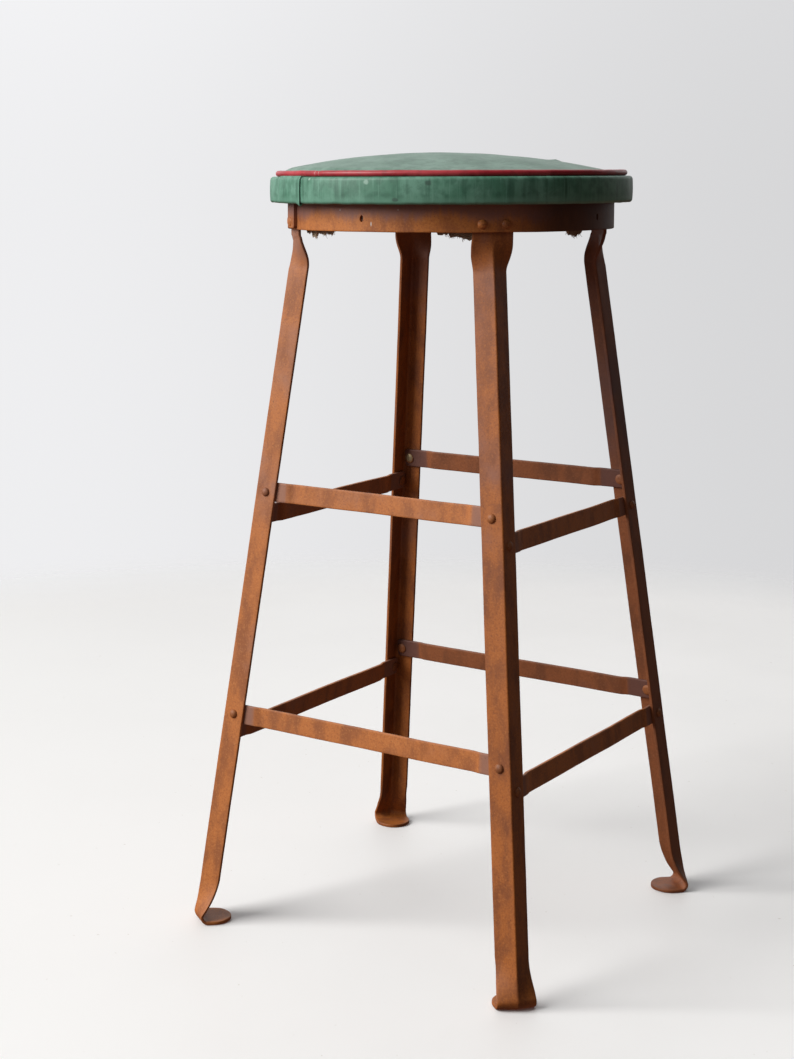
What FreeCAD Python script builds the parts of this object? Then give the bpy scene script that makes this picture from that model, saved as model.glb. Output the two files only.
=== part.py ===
"""Round upholstered shop stool: four splayed angle-steel legs riveted inside a strip ring.

Frame: millimetres, +Z up, origin on the floor under the middle of the seat.
Front is -Y. The legs stand on the diagonals, the eight braces along the sides.
"""
import FreeCAD, Part
import math
import os
import Sketcher
from FreeCAD import Placement, Rotation, Vector

doc = FreeCAD.newDocument("shop_stool")

# Driving dimensions
SIZES = (
    ("stock_wall", 3.2, "wall of angle, strip ring and braces"),
    ("flange", 22.9, "flange of the angle, from its sharp outer corner"),
    ("corner_round", 1.6, "rounding of the outer corner of the angle"),
    ("root_round", 2.4, "rounding of its inner corner"),
    ("half_square", 45, "half of the angle between the flanges"),
    ("leg_reach", 260.15, "leg corner from the axis, carried straight to the floor"),
    ("leg_splay", 0.1495, "how much nearer the axis a leg comes per mm of height"),
    ("open_start", 657, "height where the angle begins to open towards the ring"),
    ("open_end", 688, "height where it is opened out to a tab"),
    ("tab_half_width", 19.5, "half of the width of the riveted tab"),
    ("tab_half_open", 83.1, "half of the angle left between the halves of the tab"),
    ("tab_top", 720.5, "top end of the tab inside the ring"),
    ("foot_start", 42, "height where the angle begins to open towards the foot"),
    ("foot_bend", 10, "outer radius of the bend of the foot"),
    ("foot_kick", 1.8, "how far the bend stands outside the straight leg"),
    ("foot_half_width", 18.4, "half of the width where the foot leaves the bend"),
    ("foot_end_radius", 19, "rounded end of the foot"),
    ("foot_tip", 223.5, "end of the foot from the axis"),
    ("crease_half", 1.5, "half of the crease that stays in the flattened foot"),
    ("ring_radius", 160.5, "outside of the strip ring"),
    ("ring_bottom", 694.1, "lower edge of the ring"),
    ("ring_height", 28.6, "width of the strip of the ring"),
    ("lap_from", -137, "angle where the strip leaves the circle"),
    ("lap_full", -133.5, "angle where it lies on the outside"),
    ("lap_to", -125.5, "angle where the outer end of the strip stops"),
    ("lap_lift", 1.3, "how much higher the lapped end sits"),
    ("slit", 0.6, "gap at the inner end of the strip"),
    ("ring_rivet_height", 701.7, "ring rivets above the floor"),
    ("ring_rivet_spread", 4.05, "angle of a ring rivet from the middle of its leg"),
    ("ring_rivet_slack", 0.35, "room under its tail for the flats of the tab"),
    ("lap_rivet_shift", 0.2, "how far the two rivets at the lap move towards its end"),
    ("lap_rivet_spread", 4.9, "angle of a rivet at the lap from the middle of the two"),
    ("rivet_shank", 2.4, "radius of the rivet shank"),
    ("rivet_head", 4.4, "radius of the factory head"),
    ("rivet_head_rise", 2.8, "height of the factory head"),
    ("rivet_tail", 5.4, "radius of the hammered tail"),
    ("rivet_tail_rise", 1.9, "height of the hammered tail"),
    ("rivet_from_corner", 11.7, "brace rivet from the corner of the angle"),
    ("brace_width", 19.05, "width of the brace strip"),
    ("brace_end_gap", 6.2, "end of a brace from the corner of the angle"),
    ("brace_seat", 29, "flat end of a brace on the flange"),
    ("brace_ramp", 7, "length of the set in a brace"),
    ("brace_set", 1.6, "how far the middle of a brace is set inwards"),
    ("brace_corner", 2.2, "cut corners of a brace"),
    ("upper_high", 435.9, "upper front and back braces above the floor"),
    ("upper_low", 410.6, "upper left and right braces above the floor"),
    ("lower_high", 213.1, "lower front and back braces above the floor"),
    ("lower_low", 191.2, "lower left and right braces above the floor"),
    ("board_radius", 176.3, "radius of the seat board"),
    ("board_wall", 12, "thickness of the seat board"),
    ("disc_radius", 156.8, "radius of the locating disc inside the ring"),
    ("disc_wall", 22, "thickness of the locating disc"),
    ("notch_half_width", 23, "half of the width of a notch for a leg tab"),
    ("notch_floor", 150.5, "bottom of a notch from the axis"),
    ("seat_radius", 177.8, "outside of the boxing band"),
    ("vinyl_wall", 1.2, "thickness of the vinyl"),
    ("band_top", 745, "upper fold of the band"),
    ("band_bottom", 719.6, "lower fold of the band"),
    ("band_fold_top", 2.6, "size of the upper fold"),
    ("band_seam", 168.5, "seam edge of the band from the axis"),
    ("band_margin", 165, "raw edge of the margin under the board"),
    ("band_margin_bend", 171, "where the margin meets the board"),
    ("band_lap_from", -129.4, "angle where the band leaves the circle"),
    ("band_lap_full", -124.8, "angle where it lies on the outside"),
    ("band_lap_end", -111.4, "angle where its outer end stops"),
    ("piping_radius", 169.6, "centre of the piping from the axis"),
    ("piping_height", 747.9, "centre of the piping above the floor"),
    ("piping_round", 2.9, "radius of the piping"),
    ("crown_height", 768.2, "top of the crowned seat"),
    ("crown_round", 750.8, "radius of the crown"),
    ("crown_flat", 40, "radius of the flat in the middle of the crown"),
    ("cover_edge", 166.7, "edge of the top panel"),
    ("pad_gap", 0.2, "play round the padding"),
    ("lining_radius", 149, "radius of the cloth under the disc"),
    ("lining_wall", 0.8, "thickness of that cloth"),
    ("screw_shank", 2, "radius of the wood screws"),
    ("screw_head", 3.4, "radius of their countersunk heads"),
    ("screw_sink", 2, "depth of their heads"),
    ("screw_point", 3, "length of their points"),
    ("ring_screw_length", 24, "length of a ring screw"),
    ("ring_screw_height", 706.5, "ring screws above the floor"),
    ("board_screw_length", 30, "length of a board screw"),
    ("board_screw_circle", 104, "circle of the board screws"),
    ("tack_head", 4, "radius of a tack head"),
    ("tack_rise", 1.1, "height of a tack head"),
    ("tack_shank", 0.9, "radius over the corners of its square shank"),
    ("tack_point", 0.3, "the same at its point"),
    ("tack_length", 9, "length of a tack shank"),
    ("cover_tack_circle", 168, "circle of the tacks in the band margin"),
    ("lining_tack_circle", 143, "circle of the tacks in the cloth"),
)
COVER_TACKS = 12
LINING_TACKS = 6
LEGS = {"front_right": -45, "back_right": 45, "back_left": 135, "front_left": 225}
FACES = {"right": 0, "back": 90, "left": 180, "front": 270}
HIGH_FACES = ("front", "back")
TIERS = ("upper", "lower")
OPENING_STEPS = 3
FOOT_STEPS = 2
BEND_STEPS = 3
BEND_SHARE = 0.82
CROWN_STEPS = 2
PIPING_SIDES = 8
RIVET_SIDES = 8
SCREW_SIDES = 6
SQUARE_SIDES = 4

sheet = doc.addObject("Spreadsheet::Sheet", "Sizes")
for row, (alias, number, note) in enumerate(SIZES, start=1):
    sheet.set(f"A{row}", alias)
    sheet.set(f"B{row}", str(number))
    sheet.set(f"C{row}", note)
    sheet.setAlias(f"B{row}", alias)
doc.recompute()


def size(alias):
    """A driving dimension read back from the sheet."""
    return float(sheet.get(alias))


def named(text):
    """An expression in which every @word is a cell of the sheet."""
    return text.replace("@", "Sizes.")


# Sketches
def origin_plane(body, role):
    return next(item for item in body.Origin.OriginFeatures if item.Role == role)


def new_body(label):
    body = doc.addObject("PartDesign::Body", label)
    body.Label = label
    return body


def new_sketch(body, name, role="XY_Plane"):
    sketch = body.newObject("Sketcher::SketchObject", f"{body.Name}_{name}")
    sketch.AttachmentSupport = [(origin_plane(body, role), "")]
    sketch.MapMode = "FlatFace"
    return sketch


def arc_between(start, end, radius, bulge):
    """The short arc from start to end; bulge 1 turns left of the chord, -1 right."""
    chord = end - start
    half = chord.Length / 2
    sagitta = radius - math.sqrt(max(radius ** 2 - half ** 2, 0))
    side = Vector(chord.y, -chord.x, 0).normalize() * bulge
    return Part.Arc(start, (start + end) / 2 + side * sagitta, end)


def outline(sketch, corners, arcs=None):
    """Draws a closed outline. Corners are pairs of expressions, held from the origin.

    arcs maps the number of a side to its radius and to the way it bulges.
    """
    arcs = arcs or {}
    texts = [(named(x), named(y)) for x, y in corners]
    points = [Vector(number(sketch, x), number(sketch, y), 0) for x, y in texts]
    count = len(points)
    starts = []
    for side in range(count):
        first, last = points[side], points[(side + 1) % count]
        if side in arcs:
            radius, bulge = arcs[side]
            radius_now = number(sketch, named(radius))
            sketch.addGeometry(arc_between(first, last, radius_now, bulge))
        else:
            sketch.addGeometry(Part.LineSegment(first, last))
        starts.append(2 if side in arcs and arcs[side][1] < 0 else 1)
    for side in range(count):
        after = (side + 1) % count
        end = 3 - starts[side]
        sketch.addConstraint(Sketcher.Constraint("Coincident", side, end, after, starts[after]))
    for side, (x, y) in enumerate(texts):
        for kind, text, value in (("DistanceX", x, points[side].x), ("DistanceY", y, points[side].y)):
            hold(sketch, Sketcher.Constraint(kind, -1, 1, side, starts[side], value), text)
    for side, (radius, _) in arcs.items():
        text = named(radius)
        hold(sketch, Sketcher.Constraint("Radius", side, number(sketch, text)), text)


def number(sketch, text):
    """What an expression is worth now."""
    result = sketch.evalExpression(text)
    return float(getattr(result, "Value", result))


def hold(sketch, constraint, text):
    """Adds a dimension and binds it to its expression."""
    index = sketch.addConstraint(constraint)
    if "Sizes." in text:
        sketch.setExpression(f"Constraints[{index}]", text)


def circles(sketch, *radii):
    for index, radius in enumerate(radii):
        text = named(radius)
        value = number(sketch, text)
        sketch.addGeometry(Part.Circle(Vector(), Vector(0, 0, 1), value))
        sketch.addConstraint(Sketcher.Constraint("Coincident", index, 3, -1, 1))
        hold(sketch, Sketcher.Constraint("Radius", index, value), text)


def pad(body, name, sketch, length, base=None):
    """Extrudes a sketch; base lifts the sketch along the normal of its plane."""
    if base:
        sketch.setExpression(".AttachmentOffset.Base.z", named(base))
    feature = body.newObject("PartDesign::Pad", f"{body.Name}_{name}")
    feature.Profile = sketch
    feature.setExpression("Length", named(length))
    return feature


def revolution(body, name, sketch, angle=360):
    """Turns a sketch of the XZ plane about the Z axis."""
    feature = body.newObject("PartDesign::Revolution", f"{body.Name}_{name}")
    feature.Profile = sketch
    feature.ReferenceAxis = (sketch, ["V_Axis"])
    feature.Angle = angle
    return feature


def loft(body, name, sections):
    """Straight-sided loft through sections that all have the same sides."""
    feature = body.newObject("PartDesign::AdditiveLoft", f"{body.Name}_{name}")
    feature.Profile = sections[0]
    feature.Sections = sections[1:]
    feature.Ruled = True
    return feature


def polygon(body, name, sides, radius, height):
    """Regular polygon at a height; radius is that of its corners."""
    sketch = new_sketch(body, name)
    sketch.setExpression(".AttachmentOffset.Base.z", named(height))
    turns = [360 * (step + 0.5) / sides for step in range(sides)]
    outline(sketch, [(f"({radius}) * cos({turn})", f"({radius}) * sin({turn})") for turn in turns])
    return sketch


def turned(body, name, steps, sides):
    """Small round form in flats, through pairs of a radius and a height."""
    sections = [
        polygon(body, f"{name}_{index}", sides, radius, height)
        for index, (radius, height) in enumerate(steps)
    ]
    return loft(body, name, sections)


def cut(label, blank, *tools):
    """A piece with the holes that its fasteners fill."""
    piece = blank
    for step, tool in enumerate(tools):
        feature = doc.addObject("Part::Cut", f"{label}_cut_{step}")
        feature.Base = piece
        feature.Tool = tool
        piece = feature
    blank.Label = f"{label}_blank"
    piece.Label = label
    return piece


# Places of the fasteners, worked out from the sheet
def corner_distance(height):
    """The sharp corner of a leg from the axis, square to a side of the stool."""
    sharp = size("corner_round") * (math.sqrt(2) - 1)
    reach = size("leg_reach") - size("leg_splay") * height
    return (reach + sharp) / math.sqrt(2)


def lean():
    """How far a side of the stool leans in, in degrees."""
    return math.degrees(math.atan(size("leg_splay") / math.sqrt(2)))


def brace_height(tier, face):
    return size(f"{tier}_high" if face in HIGH_FACES else f"{tier}_low")


def side_frame(face, height, inset=0.0):
    """Frame on a side of the stool: X along it, Y out of it, Z up its slope."""
    turn = Rotation(Vector(0, 0, 1), FACES[face] - 90)
    tilt = Rotation(Vector(1, 0, 0), lean())
    middle = turn.multVec(Vector(0, corner_distance(height) - inset, height))
    return Placement(middle, turn.multiply(tilt))


def brace_rivet_places(tier):
    outwards = Rotation(Vector(1, 0, 0), -90)
    for face in FACES:
        height = brace_height(tier, face)
        reach = corner_distance(height) - size("rivet_from_corner")
        for end in (-1, 1):
            yield side_frame(face, height).multiply(Placement(Vector(end * reach, 0, 0), outwards))


def radial_place(angle, radius, height):
    """Frame whose Z points away from the axis."""
    turn = Rotation(Vector(0, 0, 1), angle)
    spot = turn.multVec(Vector(radius, 0, height))
    return Placement(spot, turn.multiply(Rotation(Vector(0, 1, 0), 90)))


def ring_rivet_places():
    """Places of the rivets through ring and tab, and that of the one through the lap."""
    height = size("ring_rivet_height")
    plain, lapped = [], []
    for place, angle in LEGS.items():
        at_lap = place == "front_left"
        middle = angle + (size("lap_rivet_shift") if at_lap else 0)
        spread = size("lap_rivet_spread" if at_lap else "ring_rivet_spread")
        for side in (-1, 1):
            through_lap = at_lap and side > 0
            radius = size("ring_radius") + (size("stock_wall") if through_lap else 0)
            spot = radial_place(middle + side * spread, radius, height)
            (lapped if through_lap else plain).append(spot)
    return plain, lapped


def circle_places(count, radius, height, start=0.0):
    """Places on a circle, each with its Z pointing down."""
    over = Rotation(Vector(1, 0, 0), 180)
    for step in range(count):
        turn = Rotation(Vector(0, 0, 1), start + 360 * step / count)
        yield Placement(turn.multVec(Vector(radius, 0, height)), turn.multiply(over))


def group(label, pairs):
    """One node of separate equal fasteners."""
    doc.recompute()
    solids = []
    for master, places in pairs:
        for place in places:
            copy = master.Shape.copy()
            copy.Placement = place
            solids.append(copy)
    feature = doc.addObject("Part::Feature", label)
    feature.Label = label
    feature.Shape = Part.makeCompound(solids)
    return feature


# Fasteners
def rivet(label, grip):
    """Button head above its origin, shank and hammered tail below it."""
    body = new_body(label)
    head = (("@rivet_head * 0.6", "@rivet_head_rise"), ("@rivet_head", "0"))
    shank = (("@rivet_shank", "0"), ("@rivet_shank", f"-({grip})"))
    tail = (
        ("@rivet_tail", f"-({grip})"),
        ("@rivet_tail * 0.6", f"-({grip}) - @rivet_tail_rise"),
    )
    for name, steps in (("head", head), ("shank", shank), ("tail", tail)):
        turned(body, name, steps, RIVET_SIDES)
    return body


def wood_screw(label, length):
    """Countersunk screw with its head flush at the origin."""
    body = new_body(label)
    steps = (
        ("@screw_head", "0"),
        ("@screw_shank", "-@screw_sink"),
        ("@screw_shank", f"-({length}) + @screw_point"),
        ("@screw_shank * 0.25", f"-({length})"),
    )
    turned(body, "turned", steps, SCREW_SIDES)
    return body


def tack(label):
    """Cut tack with the underside of its head at the origin."""
    body = new_body(label)
    head = (("@tack_head * 0.5", "@tack_rise"), ("@tack_head", "0"))
    shank = (("@tack_shank", "0"), ("@tack_point", "-@tack_length"))
    turned(body, "head", head, SCREW_SIDES)
    turned(body, "shank", shank, SQUARE_SIDES)
    return body


def make_fasteners():
    """All fastener nodes, by their names."""
    brace_rivet = rivet("brace_rivet", "2 * @stock_wall")
    ring_rivet = rivet("ring_rivet", "2 * @stock_wall + @ring_rivet_slack")
    lap_rivet = rivet("lap_rivet", "3 * @stock_wall + @ring_rivet_slack")
    ring_screw = wood_screw("ring_screw", "@ring_screw_length")
    board_screw = wood_screw("board_screw", "@board_screw_length")
    one_tack = tack("one_tack")
    plain, lapped = ring_rivet_places()
    ring_outside = size("ring_radius")
    disc_bottom = size("ring_bottom") + size("ring_height") - size("disc_wall")
    board_bottom = size("ring_bottom") + size("ring_height")
    screw_height = size("ring_screw_height")
    nodes = {
        "ring_rivets": [(ring_rivet, plain), (lap_rivet, lapped)],
        "upper_brace_rivets": [(brace_rivet, brace_rivet_places("upper"))],
        "lower_brace_rivets": [(brace_rivet, brace_rivet_places("lower"))],
        "ring_screws": [
            (ring_screw, (radial_place(angle, ring_outside, screw_height) for angle in FACES.values()))
        ],
        "board_screws": [
            (board_screw, circle_places(4, size("board_screw_circle"), disc_bottom))
        ],
        "cover_tacks": [
            (
                one_tack,
                circle_places(
                    COVER_TACKS, size("cover_tack_circle"), board_bottom - size("vinyl_wall")
                ),
            )
        ],
        "lining_tacks": [
            (
                one_tack,
                circle_places(
                    LINING_TACKS, size("lining_tack_circle"), disc_bottom - size("lining_wall"), 15
                ),
            )
        ],
    }
    return {label: group(label, pairs) for label, pairs in nodes.items()}


# Legs
def leg_section(body, name, reach, height, opening, width, outer, inner, turn=None):
    """Section of the angle, its outer corner at reach and height, roundings in two flats.

    opening is half of the angle between the flanges: 45 for the rolled angle,
    more where the steel is hammered open. turn leans the section into the bend.
    """
    sketch = new_sketch(body, name)
    if turn:
        sketch.AttachmentOffset = Placement(Vector(), Rotation(Vector(0, 1, 0), 1))
        sketch.setExpression(".AttachmentOffset.Rotation.Angle", named(f"({turn}) * 1 deg"))
    sketch.setExpression(".AttachmentOffset.Base.x", named(reach))
    sketch.setExpression(".AttachmentOffset.Base.z", named(height))
    sine, cosine, tangent = f"sin({opening})", f"cos({opening})", f"tan({opening})"
    shift = f"({outer}) * (1 / {sine} - 1)"
    root = f"({shift}) - @stock_wall / {sine}"
    tip_x = f"({shift}) - ({width}) * {cosine}"
    tip_y = f"({width}) * {sine}"
    bend_x = f"({shift}) - ({outer}) / {tangent} * {cosine}"
    bend_y = f"({outer}) * {cosine}"
    inside_x = f"({tip_x}) - @stock_wall * {sine}"
    inside_y = f"({tip_y}) - @stock_wall * {cosine}"
    fillet_x = f"({root}) - ({inner}) / {tangent} * {cosine}"
    fillet_y = f"({inner}) * {cosine}"
    fillet_middle = f"({root}) - ({inner}) * (1 / {sine} - 1)"
    corners = (
        (tip_x, f"-({tip_y})"),
        (bend_x, f"-({bend_y})"),
        ("0", "0"),
        (bend_x, bend_y),
        (tip_x, tip_y),
        (inside_x, inside_y),
        (fillet_x, fillet_y),
        (fillet_middle, "0"),
        (fillet_x, f"-({fillet_y})"),
        (inside_x, f"-({inside_y})"),
    )
    outline(sketch, corners)
    return sketch


def flat_section(body, name, reach, width):
    """Section of the flattened steel where the foot leaves the bend, on the floor."""
    sketch = new_sketch(body, name)
    sketch.AttachmentOffset = Placement(Vector(), Rotation(Vector(0, 1, 0), 90))
    sketch.setExpression(".AttachmentOffset.Base.x", named(reach))
    corners = (
        ("0", f"-({width})"),
        ("0", "-@crease_half"),
        ("0", "0"),
        ("0", "@crease_half"),
        ("0", width),
        ("-@stock_wall", width),
        ("-@stock_wall", "@crease_half"),
        ("-@stock_wall", "0"),
        ("-@stock_wall", "-@crease_half"),
        ("-@stock_wall", f"-({width})"),
    )
    outline(sketch, corners)
    return sketch


def leg_line(height):
    """Expression for the reach of the straight leg at a height."""
    return f"(@leg_reach - @leg_splay * ({height}))"


def opening_section(body, part):
    """Section of the opening under the ring: part 0 is still the angle, 1 is the tab."""
    height = f"(@open_start + (@open_end - @open_start) * {part})"
    tab_reach = "(@ring_radius - @stock_wall)"
    reach = f"({leg_line(height)} * (1 - {part}) + {tab_reach} * {part})"
    opening = f"(@half_square + (@tab_half_open - @half_square) * {part * part * (3 - 2 * part)})"
    width = f"(@flange + (@tab_half_width - @flange) * {part})"
    outer = f"(@corner_round / (1 - {part} * (1 - @corner_round / {tab_reach})))"
    tab_inside = f"({tab_reach} - @stock_wall)"
    inner = f"(@root_round / (1 - {part} * (1 - @root_round / {tab_inside})))"
    return leg_section(body, f"open_{int(part * 100)}", reach, height, opening, width, outer, inner)


def foot_section(body, part, reach, height, turn=None):
    """Section of the foot; part runs from 0 at the angle to 1 where it is flat."""
    opening = f"(@half_square + (90 - @half_square) * {part ** 2})"
    width = f"(@flange + (@foot_half_width - @flange) * {part})"
    name = f"foot_{int(part * 100)}"
    return leg_section(
        body, name, reach, height, opening, width, "@corner_round", "@root_round", turn
    )


def foot_sections(body):
    """Sections down the leg and round the bend to the flat of the foot."""
    sections = []
    for step in range(FOOT_STEPS + 1):
        share = step / FOOT_STEPS
        height = f"(@foot_start + (@foot_bend - @foot_start) * {share:.3f})"
        reach = f"({leg_line(height)} + @foot_kick * {share ** 2:.3f})"
        sections.append(foot_section(body, BEND_SHARE * share, reach, height))
    heel = f"({leg_line('@foot_bend')} + @foot_kick - @foot_bend)"
    for step in range(1, BEND_STEPS):
        share = step / BEND_STEPS
        turn = 90 * share
        part = BEND_SHARE + (1 - BEND_SHARE) * share
        reach = f"({heel} + @foot_bend * cos({turn}))"
        height = f"(@foot_bend * (1 - sin({turn})))"
        sections.append(foot_section(body, part, reach, height, str(turn)))
    sections.append(flat_section(body, "foot_flat", heel, "@foot_half_width"))
    return sections


def foot_pad(body):
    """Flat of the foot in plan, widening a little to its rounded end."""
    heel = f"({leg_line('@foot_bend')} + @foot_kick - @foot_bend)"
    shoulder = "(@foot_tip + @foot_end_radius)"
    sketch = new_sketch(body, "foot_plan")
    corners = (
        (heel, "-@foot_half_width"),
        (heel, "@foot_half_width"),
        (shoulder, "@foot_end_radius"),
        ("@foot_tip", "0"),
        (shoulder, "-@foot_end_radius"),
    )
    outline(sketch, corners, {2: ("@foot_end_radius", 1), 3: ("@foot_end_radius", 1)})
    pad(body, "foot_pad", sketch, "@stock_wall")


def make_leg(place, angle):
    """One leg: rolled angle, opened to a tab above and to a turned foot below."""
    body = new_body(f"leg_{place}")
    top = [opening_section(body, step / OPENING_STEPS) for step in range(OPENING_STEPS + 1)]
    bottom = foot_sections(body)
    loft(body, "straight", [top[0], bottom[0]])
    loft(body, "opening", top)
    pad(body, "tab", top[-1], "@tab_top - @open_end")
    loft(body, "foot", bottom)
    foot_pad(body)
    body.Placement = Placement(Vector(), Rotation(Vector(0, 0, 1), angle))
    return body


# Braces
def cut_corners(body, length):
    """Cuts the four corners of a brace in its face view."""
    doc.recompute()
    strip = body.Tip
    names = []
    for index, edge in enumerate(strip.Shape.Edges, start=1):
        ends = [vertex.Point for vertex in edge.Vertexes]
        at_end = all(abs(abs(point.x) - length / 2) < 0.01 for point in ends)
        across = len(ends) == 2 and abs(ends[0].y - ends[1].y) > 1
        if at_end and across:
            names.append(f"Edge{index}")
    chamfer = body.newObject("PartDesign::Chamfer", f"{body.Name}_corners")
    chamfer.Base = (strip, names)
    chamfer.setExpression("Size", named("@brace_corner"))


def make_brace(tier, face):
    """Flat strip whose ends lie on the inside of two flanges."""
    body = new_body(f"{tier}_brace_{face}")
    level = f"@{tier}_high" if face in HIGH_FACES else f"@{tier}_low"
    sharp = "@corner_round * (sqrt(2) - 1)"
    half = f"(({leg_line(level)} + {sharp}) / sqrt(2) - @brace_end_gap)"
    seat = f"({half} - @brace_seat)"
    ramp = f"({seat} - @brace_ramp)"
    back = "-@stock_wall"
    deep = "-@stock_wall - @brace_set"
    right = ((half, "0"), (seat, "0"), (ramp, "-@brace_set"))
    under = ((ramp, deep), (seat, back), (half, back))
    corners = [(f"-{x}", y) for x, y in right] + [(x, y) for x, y in reversed(right)]
    corners += [(x, y) for x, y in reversed(under)] + [(f"-{x}", y) for x, y in under]
    sketch = new_sketch(body, "edge_view")
    outline(sketch, corners)
    strip = pad(body, "strip", sketch, "@brace_width")
    strip.SideType = "Symmetric"
    height = brace_height(tier, face)
    cut_corners(body, 2 * (corner_distance(height) - size("brace_end_gap")))
    body.Placement = side_frame(face, height, size("stock_wall"))
    return body


# Ring
def lap_plan(body, name, radius, wall, angles):
    """Plan of a lapped end: on the circle, outside, outside and on the circle again."""
    outside = f"({radius} + {wall})"
    reaches = (radius, outside, outside, radius)
    corners = [(f"{reach} * cos({angle})", f"{reach} * sin({angle})")
               for reach, angle in zip(reaches, angles)]
    sketch = new_sketch(body, name)
    outline(sketch, corners, {1: (outside, 1), 3: (radius, -1)})
    return sketch


def make_ring():
    """Strip bent to a circle, its outer end lapped over the inner one."""
    body = new_body("seat_ring")
    circle = new_sketch(body, "circle")
    circles(circle, "@ring_radius", "@ring_radius - @stock_wall")
    pad(body, "strip", circle, "@ring_height", "@ring_bottom")
    angles = ("@lap_from", "@lap_full", "@lap_to", "@lap_to")
    lap = lap_plan(body, "lap", "@ring_radius", "@stock_wall", angles)
    pad(body, "lapped_end", lap, "@ring_height - @lap_lift", "@ring_bottom + @lap_lift")
    gap = new_sketch(body, "inner_end")
    gap.AttachmentOffset = Placement(Vector(), Rotation(Vector(0, 0, 1), 1))
    gap.setExpression(".AttachmentOffset.Rotation.Angle", named("@lap_full * 1 deg"))
    corners = (
        ("@ring_radius - 2 * @stock_wall", "0"),
        ("@ring_radius", "0"),
        ("@ring_radius", "@slit"),
        ("@ring_radius - 2 * @stock_wall", "@slit"),
    )
    outline(gap, corners)
    gap.setExpression(".AttachmentOffset.Base.z", named("@ring_bottom"))
    pocket = body.newObject("PartDesign::Pocket", "seat_ring_inner_end_gap")
    pocket.Profile = gap
    pocket.Reversed = True
    pocket.setExpression("Length", named("@ring_height"))
    return body


# Seat
def make_disc():
    """Locating disc inside the ring, notched for the leg tabs and their rivets."""
    body = new_body("locating_disc")
    round_plan = new_sketch(body, "plan")
    circles(round_plan, "@disc_radius")
    bottom = "@ring_bottom + @ring_height - @disc_wall"
    pad(body, "blank", round_plan, "@disc_wall", bottom)
    notch = new_sketch(body, "notch")
    corners = (
        ("@notch_floor", "-@notch_half_width"),
        ("@ring_radius", "-@notch_half_width"),
        ("@ring_radius", "@notch_half_width"),
        ("@notch_floor", "@notch_half_width"),
    )
    notch.AttachmentOffset = Placement(Vector(), Rotation(Vector(0, 0, 1), 45))
    outline(notch, corners)
    notch.setExpression(".AttachmentOffset.Base.z", named(bottom))
    pocket = body.newObject("PartDesign::Pocket", "locating_disc_notch_cut")
    pocket.Profile = notch
    pocket.Reversed = True
    pocket.setExpression("Length", named("@disc_wall"))
    doc.recompute()
    pattern = body.newObject("PartDesign::PolarPattern", "locating_disc_notches")
    pattern.Originals = [pocket]
    pattern.Axis = (origin_plane(body, "Z_Axis"), [""])
    pattern.Angle = 360
    pattern.Occurrences = len(LEGS)
    body.Tip = pattern
    return body


def make_board():
    """Plywood board that carries the upholstery and sits on the ring."""
    board = doc.addObject("Part::Cylinder", "seat_board_blank")
    board.setExpression("Radius", named("@board_radius"))
    board.setExpression("Height", named("@board_wall"))
    board.setExpression(".Placement.Base.z", named("@ring_bottom + @ring_height"))
    return board


def make_lining():
    """Cloth tacked under the locating disc."""
    cloth = doc.addObject("Part::Cylinder", "under_lining_blank")
    cloth.setExpression("Radius", named("@lining_radius"))
    cloth.setExpression("Height", named("@lining_wall"))
    level = "@ring_bottom + @ring_height - @disc_wall - @lining_wall"
    cloth.setExpression(".Placement.Base.z", named(level))
    return cloth


def crown_path(depth):
    """Corners up the crown from the edge of the top panel to the middle."""
    path = []
    for step in range(CROWN_STEPS):
        radius = f"(@cover_edge - (@cover_edge - @crown_flat) * {step / CROWN_STEPS})"
        rise = f"sqrt((@crown_round - ({depth})) ^ 2 - {radius} ^ 2)"
        path.append((radius, f"(@crown_height - @crown_round + {rise})"))
    top = f"(@crown_height - ({depth}))"
    return path + [("@crown_flat", top), ("0", top)]


def make_pad():
    """Crowned padding between the board and the cover."""
    body = new_body("seat_padding")
    sketch = new_sketch(body, "profile", "XZ_Plane")
    bottom = "(@ring_bottom + @ring_height + @board_wall)"
    side = "(@seat_radius - @vinyl_wall - @pad_gap)"
    ledge = "(@band_top - @vinyl_wall - @pad_gap)"
    fold = "(@band_fold_top - @vinyl_wall * 0.6)"
    corners = [
        ("0", bottom),
        (side, bottom),
        (side, f"{ledge} - {fold}"),
        (f"{side} - {fold}", ledge),
        ("@cover_edge", ledge),
    ]
    outline(sketch, corners + crown_path("@vinyl_wall + @pad_gap"))
    revolution(body, "turned", sketch)
    return body


def make_cover():
    """Crowned top panel of the cover."""
    body = new_body("seat_cover_top")
    sketch = new_sketch(body, "profile", "XZ_Plane")
    outline(sketch, crown_path("@vinyl_wall") + crown_path("0")[::-1])
    revolution(body, "turned", sketch)
    return body


def make_piping():
    """Piping sewn into the seam between the top panel and the band."""
    body = new_body("seat_piping")
    sketch = new_sketch(body, "profile", "XZ_Plane")
    turns = [360 * (step + 0.5) / PIPING_SIDES for step in range(PIPING_SIDES)]
    corners = [
        (
            f"@piping_radius + @piping_round * cos({turn})",
            f"@piping_height + @piping_round * sin({turn})",
        )
        for turn in turns
    ]
    outline(sketch, corners)
    revolution(body, "turned", sketch)
    return body


def band_path(depth):
    """Corners of the band at a depth below its outer face, from the seam to the margin."""
    side = f"(@seat_radius - ({depth}))"
    top = f"(@band_top - ({depth}))"
    low = f"(@band_bottom + ({depth}))"
    fold = f"(@band_fold_top - ({depth}) * 0.6)"
    return [
        ("@band_seam", top),
        (f"{side} - {fold}", top),
        (side, f"{top} - {fold}"),
        (side, low),
        ("@band_margin_bend", f"(@ring_bottom + @ring_height - @vinyl_wall + ({depth}))"),
        ("@band_margin", f"(@ring_bottom + @ring_height - @vinyl_wall + ({depth}))"),
    ]


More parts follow.
